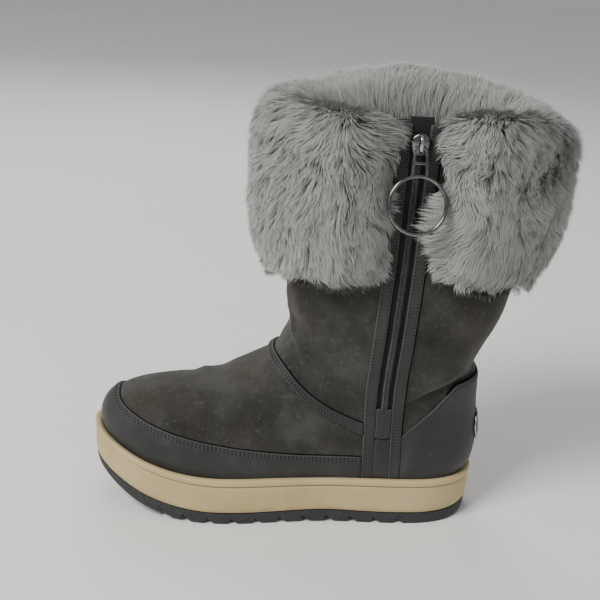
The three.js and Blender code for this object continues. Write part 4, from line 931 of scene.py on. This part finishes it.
thread = Finish("dark_thread", 0.7, specular=0.3)
thread.colour(thread.ramp(thread.noise(1800, 3), (0.35, srgb(66, 67, 67)), (0.65, srgb(88, 88, 87))))
dress(joined("stitches", threads), "boot", "nubuck", thread)
# Painted shade: near-black discs for the shadowed needle holes, and the black of the edge cords, partly dyed cut edge
# and partly painted shadow.
hole_and_edge_shade = Finish("painted_hole_and_edge_shade", 0.9, specular=0.1)
hole_and_edge_shade.colour(hole_and_edge_shade.ramp(hole_and_edge_shade.noise(900, 2), (0.3, srgb(8, 8, 9)), (0.7, srgb(17, 17, 18))))
dress(joined("painted_hole_and_edge_shadows", pricks + edge_shadow_cords), "boot", "nubuck", hole_and_edge_shade)


# Zip tape and coils
# Black woven tape sewn under both strips, and on it the closed zip: two rows of nylon coil that meet in the
# middle, a small loop for every tooth.
COIL_PITCH, TEETH_LOW, TEETH_HIGH = 1.36, 94.0, 282.5
TAPE_LOW, TAPE_HIGH, TAPE_HALF = 77.5, 301.5, 7.55
tape_heights = np.linspace(TAPE_LOW, TAPE_HIGH, 150)[:, None]
tape_offsets = np.linspace(-TAPE_HALF, TAPE_HALF, 13)[None, :]
side_turns, side_rings = side_grid(tape_offsets, np.minimum(tape_heights, COLLAR))
layers = []
for out in (-0.65, -2.15):
    layer = face_at(side_turns, side_rings, out, creased=False)
    layer[..., 2] = np.where(tape_heights > COLLAR, tape_heights, layer[..., 2])
    layers.append(layer.reshape(-1, 3))
tape = piece_from("woven_zip_tape", np.concatenate(layers), skin_and_back(*side_rings.shape))
tape_uv = np.stack(np.broadcast_arrays(tape_offsets / 1000, tape_heights / 1000), 2).reshape(-1, 2)
put_map(tape, np.tile(tape_uv[:, 0], 2), np.tile(tape_uv[:, 1], 2))
recalculated(tape, 1e-7)
weave = Finish("black_weave", 0.8, sheen=0.15, specular=0.25)
tape_map = weave.node("ShaderNodeUVMap", uv_map="wall").outputs[0]
rib = weave.node("ShaderNodeTexWave", {"Vector": tape_map, "Scale": 260.0, "Distortion": 0.0}, bands_direction="X")
twill = weave.node("ShaderNodeTexWave", {"Vector": tape_map, "Scale": 230.0, "Distortion": 0.4},
                   bands_direction="DIAGONAL")
threads_seen = weave.mix(0.5, rib.outputs["Color"], twill.outputs["Color"])
weave.colour(weave.ramp(threads_seen, (0.2, srgb(17, 17, 18)), (0.8, srgb(38, 38, 40))))
weave.bump(threads_seen, 0.6, 0.0003)
dress(tape, "boot", "zip_fabric", weave, replaces=["zip_tape"])

coils = []
for side in (-1, 1):
    level = np.arange(TEETH_LOW, TEETH_HIGH, COIL_PITCH)[:, None] + (COIL_PITCH / 2 if side > 0 else 0)
    slant = level + np.array([-0.32, -0.28, -0.1, 0.1, 0.26, 0.3])
    tooth_x = zip_x(slant) + side * np.array([2.75, 2.55, 1.7, 0.75, -0.1, -0.35])
    lift = np.broadcast_to([0.1, 0.95, 1.65, 1.7, 1.35, 0.5], slant.shape)
    loops_at, raised = beside(tooth_x, slant, lift), beside(tooth_x, slant, lift + 1.0)
    coils += [cord_along(p, q - p, 0.42, 6, 1.0) for p, q in zip(loops_at, raised)]
for side in (-1, 1):
    z = np.linspace(TEETH_LOW - 1, TEETH_HIGH + 1, 130)
    p = beside(zip_x(z) + side * 1.45, z, 0.1)
    coils.append(cord_along(p, beside(zip_x(z) + side * 1.45, z, 1.1) - p, 0.6, 8, 0.7))
chain = joined("coil_teeth", coils)
nylon = Finish("black_nylon", 0.34, specular=0.6)
nylon.colour(nylon.ramp(nylon.noise(400, 3), (0.3, srgb(46, 46, 47)), (0.7, srgb(74, 74, 75))))
nylon.bump(nylon.noise(2500, 2), 0.15, 0.0001)
dress(chain, "boot", "zip_teeth", nylon, replaces=["zip_chain"])


# Slider and pull
# Die-cast zinc plated in dark polished nickel: an egg-shaped slider with a raised bridge, and a flat two-bar
# pull that ends in a large ring and hangs from the bridge.
SLIDER_AT = 285.0
PIVOT, NECK, PULL_TILT = np.array([70.27, -54.098, 283.0]), 17.5, -15.0
RING, RING_ROD, BAR_CUTS, BAR_SIDES = 18.3, 1.3, 16, 12
slider_seat = beside(zip_x(SLIDER_AT), SLIDER_AT, 2.3)
SLIDER_HALF = 7.2
SLIDER_EDGE = (  # half width, height from the middle
    (2.6, -7.15), (4.3, -6.6), (5.1, -5.2), (5.6, -3.2), (6.2, -0.8), (6.5, 1.4), (6.1, 3.2), (4.9, 4.8),
    (3.3, 6.0), (1.8, 6.8),
)


def domed(name, outline, profile, to_surface):
    """A plate built from its outline, rings drawn in and out by a profile, closed front and back."""
    count, points = len(outline), []
    for share, out in profile:
        points.append(to_surface(outline * share, out))
    faces = [tuple(range(count))[::-1]] + grid_faces(len(profile), count, True)
    faces.append(tuple((len(profile) - 1) * count + n for n in range(count)))
    return recalculated(piece_from(name, np.concatenate(points), faces), 1e-7)


def smooth_loop(corners, count):
    return curve_at(np.array(corners, float), np.linspace(0, 1, count, endpoint=False))


other_edge = [(-w, z) for w, z in SLIDER_EDGE[::-1]]
egg = smooth_loop([(0, -SLIDER_HALF), *SLIDER_EDGE, (0, SLIDER_HALF), *other_edge], 72)
on_slider = lambda flat, out: slider_seat + np.column_stack([flat[:, 0], np.full(len(flat), -float(out)), flat[:, 1]])
slider = domed("zip_slider_body", egg, [
    (0.93, 0.0), (1.0, 0.35), (1.0, 1.5), (0.985, 2.0), (0.93, 2.45), (0.8, 2.85), (0.6, 3.15), (0.35, 3.35),
    (0.12, 3.4)], on_slider)
up_bar = np.array([5.9, 5.7, 5.0, 3.4, 0.4, -2.6, -4.3, -4.9, -5.0])
out_bar = np.array([2.4, 3.6, 5.0, 6.3, 6.75, 6.4, 5.2, 3.7, 2.6])
bar = slider_seat + np.column_stack([np.zeros(9), -out_bar, up_bar])
fine = np.linspace(0, 8, 40)
bar = np.stack([np.interp(fine, np.arange(9), bar[:, n]) for n in range(3)], 1)
for _ in range(6):
    bar[1:-1] = (bar[:-2] + 2 * bar[1:-1] + bar[2:]) / 4
bar_out = np.cross(np.gradient(bar, axis=0), (1.0, 0, 0))
bar_out /= np.linalg.norm(bar_out, axis=1, keepdims=True)
bridge = joined("zip_slider_bridge", [cord_along(bar, bar_out, 1.25, 14, 0.62)])
tilt = math.radians(PULL_TILT)
hung = lambda p: PIVOT + np.column_stack([p[:, 0], p[:, 1] * math.cos(tilt) - p[:, 2] * math.sin(tilt),
                                          p[:, 1] * math.sin(tilt) + p[:, 2] * math.cos(tilt)])


def rod_round(centre, radius, rod, count, sides, flat=1.0):
    a = np.linspace(0, 2 * np.pi, count, endpoint=False)
    b = np.linspace(0, 2 * np.pi, sides, endpoint=False)
    aa, bb = np.meshgrid(a, b, indexing="ij")
    wide = radius + rod * np.cos(bb)
    p = np.stack([wide * np.sin(aa), rod * flat * np.sin(bb), centre + wide * np.cos(aa)], 2).reshape(-1, 3)
    faces = [(i * sides + j, i * sides + (j + 1) % sides, (i + 1) % count * sides + (j + 1) % sides,
              (i + 1) % count * sides + j) for i in range(count) for j in range(sides)]
    return hung(p), faces


def bar_between(corners, width, thick):
    """A flat bar along corners in the pull's plane, rounded along its edges and ends."""
    corners = np.array(corners, float)
    run = np.concatenate([[0], np.cumsum(np.linalg.norm(np.diff(corners, axis=0), axis=1))])
    at = np.linspace(0, run[-1], BAR_CUTS)
    line = np.stack([np.interp(at, run, corners[:, 0]), np.zeros(BAR_CUTS), np.interp(at, run, corners[:, 1])], 1)
    ahead = np.gradient(line, axis=0)
    ahead /= np.linalg.norm(ahead, axis=1, keepdims=True)
    side = np.cross(ahead, (0, 1.0, 0))
    points = []
    for n in range(BAR_CUTS):
        shrink = 0.6 if n in (0, BAR_CUTS - 1) else 1
        for k in range(BAR_SIDES):
            a = 2 * np.pi * (k + 0.5) / BAR_SIDES
            c, s = [math.copysign(abs(v) ** 0.45, v) for v in (math.cos(a), math.sin(a))]
            points.append(line[n] + (side[n] * c * width + np.array([0, 1.0, 0]) * s * thick) / 2 * shrink)
    last_cut = (BAR_CUTS - 1) * BAR_SIDES
    faces = grid_faces(BAR_CUTS, BAR_SIDES, True)
    faces += [tuple(range(BAR_SIDES))[::-1], tuple(last_cut + n for n in range(BAR_SIDES))]
    return hung(np.array(points)), faces


pull_parts = [rod_round(-NECK - RING, RING, RING_ROD, 120, 16)]
for side in (-1, 1):
    down = [(side * 3.3, 0.4), (side * 3.9, -4), (side * 4.2, -9), (side * 4.7, -NECK - 0.6)]
    pull_parts.append(bar_between(down, 1.9, 1.5))
pull_parts += [bar_between([(-3.6, 0), (3.6, 0)], 1.5, 1.4), bar_between([(-4.3, -9.4), (4.3, -9.4)], 2.0, 1.5)]
pull = recalculated(joined("ring_pull", pull_parts), 1e-7)
nickel = Finish("dark_nickel", 0.22, metallic=1.0)
smear = nickel.noise(120, 5, 0.65)
nickel.colour(nickel.ramp(smear, (0.3, srgb(98, 97, 98)), (0.7, srgb(140, 139, 139))))
nickel.roughness(nickel.ramp(smear, (0.3, grey(0.16)), (0.7, grey(0.34))))
nickel.bump(nickel.noise(1500, 3), 0.05, 0.0001)
polished = Finish("polished_edge", 0.16, metallic=1.0)
polished.colour(polished.ramp(polished.noise(200, 4), (0.3, srgb(172, 170, 168)), (0.7, srgb(202, 200, 197))))
polished.bump(polished.noise(1500, 3), 0.04, 0.0001)
dress(slider, "boot", "nickel", nickel, replaces=["zip_slider"])
dress(recalculated(bridge, 1e-7), "boot", "nickel", polished)
dress(pull, "zip_pull", "nickel", nickel, replaces=["zip_pull"])


# Heel badge
# A small plain plate of dark metal with a polished rim, domed a little and riveted to the back of the counter.
BADGE_UP, BADGE_HALF, BADGE_TALL = 69.0, 14.9, 22.0


def back_of_heel(flat, out):
    """Points at the back of the heel from their place across and up, lifted off the leather."""
    spots = []
    for across, up in flat:
        at = Vector(placed([[190.0, across, BADGE_UP + up]])[0])
        hit, normal, _, _ = leather_face.ray_cast(at, Vector((-1, 0, 0)))
        spots.append(np.array(hit) * 1000 - PLACE + np.array(normal) * (2.2 + out))
    return np.array(spots)


up = np.linspace(-1, 1, 25)
right_edge, left_edge = [
    [(side * BADGE_HALF * math.sqrt(1 - 0.62 * u * u), BADGE_TALL / 2 * u) for u in heights]
    for side, heights in ((1, up[1:-1:2]), (-1, up[-2:0:-2]))
]
plate = smooth_loop(right_edge + left_edge, 96)
rim_of_badge = domed("badge_rim", plate, [
    (0.985, 0.0), (1.0, 0.3), (1.0, 0.75), (0.985, 1.0), (0.955, 1.1), (0.93, 1.0), (0.915, 0.7), (0.9, 0.62),
], back_of_heel)
face_of_badge = domed("badge_face", plate, [
    (0.9, 0.5), (0.9, 0.72), (0.86, 0.84), (0.7, 0.95), (0.45, 1.02), (0.15, 1.05)], back_of_heel)
brushed = Finish("brushed_plate", 0.42, metallic=1.0)
lines = brushed.noise(900, 4, 0.6, brushed.stretched(1, 0.05, 1))
brushed.colour(brushed.ramp(lines, (0.3, srgb(62, 62, 64)), (0.7, srgb(92, 92, 94))))
brushed.bump(lines, 0.15, 0.0001)
dress(rim_of_badge, "boot", "badge_metal", polished, replaces=["heel_badge"])
dress(face_of_badge, "boot", "badge_metal", brushed)


# Fur cuff
# The fold-over collar of long artificial fur: a backing of matted pile folded over the upper's edge, and on it
# four layers of separate ribbons of hair, drawn together into clumps that hang down to the lower edge.
FUR_DEPTH, FUR_TALL, HAIR = 31.0, 115.0, 17.0
CUFF = np.array([  # place round the shaft, lower edge, top, depth, depth lost at the lower edge
    (-0.436, 0.65, 1.012, 0.3, 0), (-0.405, 0.64, 1.022, 0.68, 0), (-0.35, 0.632, 1.028, 0.93, 0),
    (-0.2, 0.635, 1.035, 0.97, 0.05), (0, 0.63, 1.035, 0.9, 0.1), (0.25, 0.64, 1.045, 1.0, 0.1),
    (0.5, 0.635, 1.085, 1.08, 0.1), (0.75, 0.635, 1.06, 1.1, 0.25), (1.0, 0.64, 1.02, 1.1, 0.45),
    (1.25, 0.632, 1.035, 1.05, 0.35), (1.37, 0.64, 1.04, 0.95, 0.15), (1.425, 0.65, 1.03, 0.62, 0),
    (1.454, 0.665, 1.02, 0.3, 0),
])
CUFF_SECTION = np.array([  # out, as a share of the depth, and up, as a share of the cuff's height
    (0.22, 0.03), (0.55, 0), (0.84, 0.07), (0.98, 0.22), (1.02, 0.42), (1.03, 0.62), (1.0, 0.78), (0.88, 0.91),
    (0.58, 0.985), (0.18, 1.0), (-0.16, 0.965), (-0.34, 0.88), (-0.36, 0.76),
])
WAYS, STEPS = 440, 110
FOLD, FOLD_SPREAD, LOWEST = 80, 11, 9  # places down the section where it folds over and where the hair ends
STRAND_POINTS, STRAND_CORNERS, STRAND_FACES = 7, 11, 3  # two quads and the tip's triangle
STRANDS = 34000
chance = np.random.default_rng(7)


def cuff_point(way, out, up):
    """Point of the cuff's section at a place round the shaft."""
    low, high, deep, loss = [np.interp(way, CUFF[:, 0], CUFF[:, n]) for n in (1, 2, 3, 4)]
    z = (low + (high - low) * up) * COLLAR
    deep = deep * FUR_DEPTH * (1 - loss * np.clip(1 - up, 0, 1) ** 1.5)
    turn = np.where(way > 1, way - 2, way)
    seat = np.where(out < 0, -WALL_THICK - 2.0, 0.9)
    p = face_at(turn, ring_at(turn, np.minimum(z, COLLAR)), seat + out * deep, creased=False)
    p[..., 2] = z
    return p


run = np.concatenate([[0], np.cumsum(np.hypot(*(np.diff(CUFF_SECTION, axis=0) * (FUR_DEPTH, FUR_TALL)).T))])
steps = np.linspace(0, run[-1], STEPS)
section = np.stack([np.interp(steps, run, CUFF_SECTION[:, n]) for n in (0, 1)], 1)
for _ in range(12):
    section[1:-1] = (section[:-2] + 2 * section[1:-1] + section[2:]) / 4
ways = np.linspace(CUFF[0, 0], CUFF[-1, 0], WAYS)
way_grid, out_grid = np.meshgrid(ways, section[:, 0], indexing="ij")
up_grid = np.broadcast_to(section[:, 1], way_grid.shape)
crown = cuff_point(way_grid, out_grid, up_grid)
root_out = np.where(out_grid > 0, 0.06 + out_grid * 0.5, out_grid * 0.62)
root_up = 0.05 + 0.87 * up_grid
skin = cuff_point(way_grid, root_out, root_up)
crown_normal = np.cross(np.gradient(crown, axis=1), np.gradient(crown, axis=0))
crown_normal /= np.linalg.norm(crown_normal, axis=2, keepdims=True)
if np.mean(crown_normal[WAYS // 2, 40:60, 1]) < 0:
    crown_normal = -crown_normal
step_way = np.linalg.norm(np.gradient(crown, axis=0), axis=2)
step_down = np.linalg.norm(np.gradient(crown, axis=1), axis=2)

back_rows = [(-0.1, 0.25), (-0.1, 0.02), (0.02, 0.02), (0.02, 0.3), (0.02, 0.6), (0.02, 0.9)]
loops = [skin[:, ::2]]
for out, down in back_rows:
    low = np.interp(ways, CUFF[:, 0], CUFF[:, 1])
    share = (1 - down) * (1 - low) / (np.interp(ways, CUFF[:, 0], CUFF[:, 2]) - low)
    loops.append(cuff_point(ways, np.full(WAYS, out), share)[:, None])
loop_grid = np.concatenate(loops, 1)[::4]
around, cells = loop_grid.shape[:2]
backing_faces = grid_faces(around, cells, True)
backing_faces += [tuple(range(cells)), tuple((around - 1) * cells + n for n in range(cells))[::-1]]
backing = recalculated(piece_from("fur_backing", loop_grid.reshape(-1, 3), backing_faces))


wall = cuff_point(way_grid, 0 * out_grid, up_grid)


def on_grid(grid, row, column, beyond=None):
    """Values of a grid between its points; past its ends they go on the way another grid does."""
    row_in, column_in = np.clip(row, 0, WAYS - 1.001), np.clip(column, 0, STEPS - 1.001)
    r, c = row_in.astype(int), column_in.astype(int)
    fr, fc = (row_in - r)[:, None], (column_in - c)[:, None]
    near, far = [grid[r, at] * (1 - fr) + grid[r + 1, at] * fr for at in (c, c + 1)]
    value = near * (1 - fc) + far * fc
    return value if beyond is None else value + (beyond[r + 1, c] - beyond[r, c]) * (row - row_in)[:, None]


def swirl(points, size, seed):
    """A smooth random value from -1 to 1 at each point."""
    value = 0.0
    for n in range(4):
        way = np.random.default_rng(seed * 10 + n).normal(size=3)
        along_way = points @ (way / np.linalg.norm(way))
        value = value + np.sin(along_way * 2 * np.pi / (size * (0.7 + 0.22 * n)) + n * 1.7 + seed)
    return value / 2.4


def combed(row, column, length, lean, seed):
    """Grid places of the tips of hairs rooted at grid places."""
    here = on_grid(crown, row, column)
    z = here[:, 2]
    angle = 0.4 * swirl(here, 55, seed) + 0.45 * swirl(here, 21, seed + 1)
    ends = np.clip((row - 0.9 * WAYS) / (0.08 * WAYS), 0, 1) * np.exp(-(((z - 236) / 20) ** 2))
    begin, end = np.clip(1 - row / (0.15 * WAYS), 0, 1) ** 2, np.clip(1 - (WAYS - row) / (0.12 * WAYS), 0, 1) ** 2
    angle = angle - 0.85 * begin + 0.8 * end + 0.9 * ends
    length = length * (1 + 0.2 * (begin + end) + 1.5 * ends)
    lean = lean * (1 + 0.12 * np.exp(-(((column - FOLD) / FOLD_SPREAD) ** 2)))
    across, along = length * lean * np.sin(angle), length * lean * np.cos(angle)
    r, c = np.clip(row, 0, WAYS - 1).astype(int), np.clip(column, 0, STEPS - 1).astype(int)
    return row + across / step_way[r, c], column - along / np.maximum(step_down[r, c], 0.4)


dense = 1 + 0.7 * np.exp(-(((np.arange(STEPS) - 82) / 12) ** 2))
area = (step_way * step_down * dense)[2:-2, 3:].ravel()
shape = step_way[2:-2, 3:].shape


def scattered(count):
    """Grid places of roots, even over the fur's face and closer together by the fold."""
    cell = chance.choice(len(area), size=count, p=area / area.sum())
    r, c = np.unravel_index(cell, shape)
    return r + 2 + chance.random(count) - 0.5, np.minimum(c + 3 + chance.random(count) - 0.5, STEPS - 1.5)


def clumps(count, seed):
    """Places of clumps in a search tree, with each one's tip, lift and tone."""
    row, column = scattered(count)
    tree = KDTree(count)
    here = on_grid(crown, row, column)
    for n, p in enumerate(here):
        tree.insert(p, n)
    tree.balance()
    length = HAIR * (1 + 0.25 * chance.normal(size=count))
    return tree, *combed(row, column, length, 0.8, seed), chance.normal(size=count), chance.random(count)


small, big = clumps(7000, 3), clumps(420, 3)
hair = Finish("long_fur", 0.82, sheen=0.25, specular=0.25)
along_hair, tint = hair.attribute("along"), hair.attribute("tint")
# Hair darker at the root and paler at the tip: partly the fur's own paler tips, partly painted shade deep in the fur
# and painted light on the tips.
root_shade_to_lit_tip = hair.ramp(along_hair, (0.0, srgb(140, 140, 136)), (0.4, srgb(160, 161, 158)),
                        (0.75, srgb(181, 182, 179)), (1.0, srgb(200, 201, 198)))
strand_tone = hair.ramp(tint, (0.0, (0.8, 0.79, 0.77, 1)), (0.5, (0.9, 0.9, 0.89, 1)), (1.0, WHITE))
hair.colour(hair.mix(1.0, root_shade_to_lit_tip, strand_tone, "MULTIPLY"))
hair.bump(hair.noise(1400, 2), 0.1, 0.0002)
for part in range(4):
    row, column = scattered(STRANDS)
    here = on_grid(crown, row, column)
    inside = np.clip((column - 78) / 14, 0, 1)
    length = (HAIR - 3 * inside) * (1 + 0.2 * chance.normal(size=STRANDS))
    tip_row, tip_column = combed(row, column, length, 0.8, 3)
    tip_row = tip_row + 3.0 * chance.normal(size=STRANDS) / step_way[np.clip(row, 0, WAYS - 1).astype(int), 50]
    near_side = (row < 0.28 * WAYS) | (row > 0.8 * WAYS)
    fold = near_side * np.exp(-(((column - FOLD) / FOLD_SPREAD) ** 2))
    height = chance.normal(size=STRANDS) * 0.8 + fold * (0.6 + 2.0 * chance.random(STRANDS))
    shade = chance.random(STRANDS)
    for (tree, far_row, far_column, lift, tone), pull, rise in ((big, 0.1, 0.8), (small, 0.42, 0.6)):
        own = np.array([tree.find(p)[1] for p in here])
        share = pull * (0.75 + 0.5 * chance.random(STRANDS))
        tip_row = tip_row + (far_row[own] - tip_row) * share
        tip_column = tip_column + (far_column[own] - tip_column) * share
        height, shade = height + rise * lift[own], shade * 0.55 + tone[own] * 0.45
    stray = chance.random(STRANDS) < 0.03
    height = np.where(stray, height + 3.5 * chance.random(STRANDS), np.clip(height, -4, 9))
    hang = np.clip(LOWEST - tip_column, 0, 30) * 0.42
    tip_column = np.clip(tip_column, LOWEST, STEPS - 1.5)
    tip = on_grid(crown, tip_row, tip_column, wall) + on_grid(crown_normal, tip_row, tip_column) * height[:, None]
    tip[:, 2] -= hang
    root = on_grid(skin, row, column)
    out = on_grid(crown_normal, row, column)
    reach = np.linalg.norm(here - root, axis=1, keepdims=True)
    bend = root + out * reach * 0.9 + (tip - here) * 0.3
    bend += chance.normal(size=bend.shape) * 0.7
    t = np.array([0.0, 0.4, 0.75, 1.0])[None, :, None]
    path = root[:, None] * (1 - t) ** 2 + 2 * bend[:, None] * t * (1 - t) + tip[:, None] * t**2
    ahead = np.gradient(path, axis=1)
    side = np.cross(ahead, out[:, None])
    side /= np.linalg.norm(side, axis=2, keepdims=True) + 1e-9
    twist = chance.normal(size=(STRANDS, 1, 1)) * 0.35
    side = side + out[:, None] * twist
    width = (0.24 + 0.16 * chance.random((STRANDS, 1, 1))) * np.array([0.8, 1.0, 0.7])[None, :, None]
    width = width * 1
    left, right = path[:, :3] - side[:, :3] * width / 2, path[:, :3] + side[:, :3] * width / 2
    points = np.concatenate([np.stack([left, right], 2).reshape(STRANDS, 6, 3), path[:, 3:]], 1)
    first = np.arange(STRANDS)[:, None] * STRAND_POINTS
    quads = np.concatenate([first + np.array([0, 1, 3, 2]), first + np.array([2, 3, 5, 4])])
    tris = first + np.array([4, 5, 6])
    mesh = bpy.data.meshes.new("fur_strands")
    mesh.vertices.add(STRANDS * STRAND_POINTS)
    mesh.vertices.foreach_set("co", placed(points.reshape(-1, 3)).ravel())
    mesh.loops.add(STRANDS * STRAND_CORNERS)
    mesh.loops.foreach_set("vertex_index", np.concatenate([quads.ravel(), tris.ravel()]))
    mesh.polygons.add(STRANDS * STRAND_FACES)
    starts = np.concatenate([np.arange(STRANDS * 2) * 4, STRANDS * 8 + np.arange(STRANDS) * 3])
    mesh.polygons.foreach_set("loop_start", starts)
    mesh.polygons.foreach_set("use_smooth", np.ones(STRANDS * STRAND_FACES, bool))
    mesh.update(calc_edges=True)
    facing = out + on_grid(crown_normal, tip_row, tip_column) + 0.25 * chance.normal(size=out.shape)
    facing[:, 2] = np.maximum(facing[:, 2], -0.1)
    facing /= np.linalg.norm(facing, axis=1, keepdims=True)
    mesh.normals_split_custom_set_from_vertices(np.repeat(facing, STRAND_POINTS, axis=0))
    at = np.tile([0, 0, 0.4, 0.4, 0.75, 0.75, 1.0], STRANDS)
    mesh.attributes.new("along", "FLOAT", "POINT").data.foreach_set("value", at)
    tints = np.repeat(np.clip(shade, 0, 1), STRAND_POINTS)
    mesh.attributes.new("tint", "FLOAT", "POINT").data.foreach_set("value", tints)
    strands = bpy.data.objects.new("fur_hair_" + "abcd"[part], mesh)
    bpy.context.collection.objects.link(strands)
    dress(strands, "boot", "fur", hair)

# The backing is grey pile darkened like the hair roots: painted shade of the fur's depths, seen through the gaps
# between strands.
under_fur = Finish("fur_roots", 0.95, sheen=0.2, specular=0.1)
matted = under_fur.noise(300, 5, 0.7)
under_fur.colour(under_fur.ramp(matted, (0.3, srgb(112, 112, 108)), (0.7, srgb(142, 142, 138))))
under_fur.bump(matted, 0.8, 0.0015)
dress(backing, "boot", "fur", under_fur, replaces=["fur_cuff"])


# Floor and light
# A plain pale floor under soft studio light: a large window-like lamp high at the left front, a weak one low
# at the right, a third behind the boot that lights its fur from the back, and a pale room.
bpy.ops.mesh.primitive_plane_add(size=14, location=(0, 0, 0))
studio_floor = bpy.context.object
studio_floor.name = "pale_floor"
floor_paint = Finish("floor_paint", 0.85, specular=0.2)
floor_tone = floor_paint.noise(3, 3, 0.5)
floor_paint.colour(floor_paint.ramp(floor_tone, (0.3, srgb(248, 246, 243)), (0.7, srgb(251, 249, 246))))
studio_floor.data.materials.append(floor_paint.material)
for place, aim, power, size, colour in (
    ((-1.45, -1.2, 2.0), (0.0, 0.0, 0.1), 66.0, 1.0, (1.0, 0.99, 0.965)),
    ((1.5, -0.9, 1.1), (0.05, 0.0, 0.15), 0.8, 1.2, (1.0, 0.93, 0.86)),
    ((-0.3, 1.5, 1.4), (0.0, 0.0, 0.25), 11.0, 1.0, (0.95, 0.97, 1.0)),
):
    bpy.ops.object.light_add(type="AREA", location=place)
    lamp = bpy.context.object
    lamp.data.energy, lamp.data.size, lamp.data.color = power, size, colour
    lamp.rotation_euler = (Vector(aim) - Vector(place)).to_track_quat("-Z", "Y").to_euler()
room = bpy.context.scene.world or bpy.data.worlds.new("room")
bpy.context.scene.world = room
room.use_nodes = True
room.node_tree.nodes["Background"].inputs["Color"].default_value = (0.93, 0.93, 0.95, 1.0)
room.node_tree.nodes["Background"].inputs["Strength"].default_value = 0.38
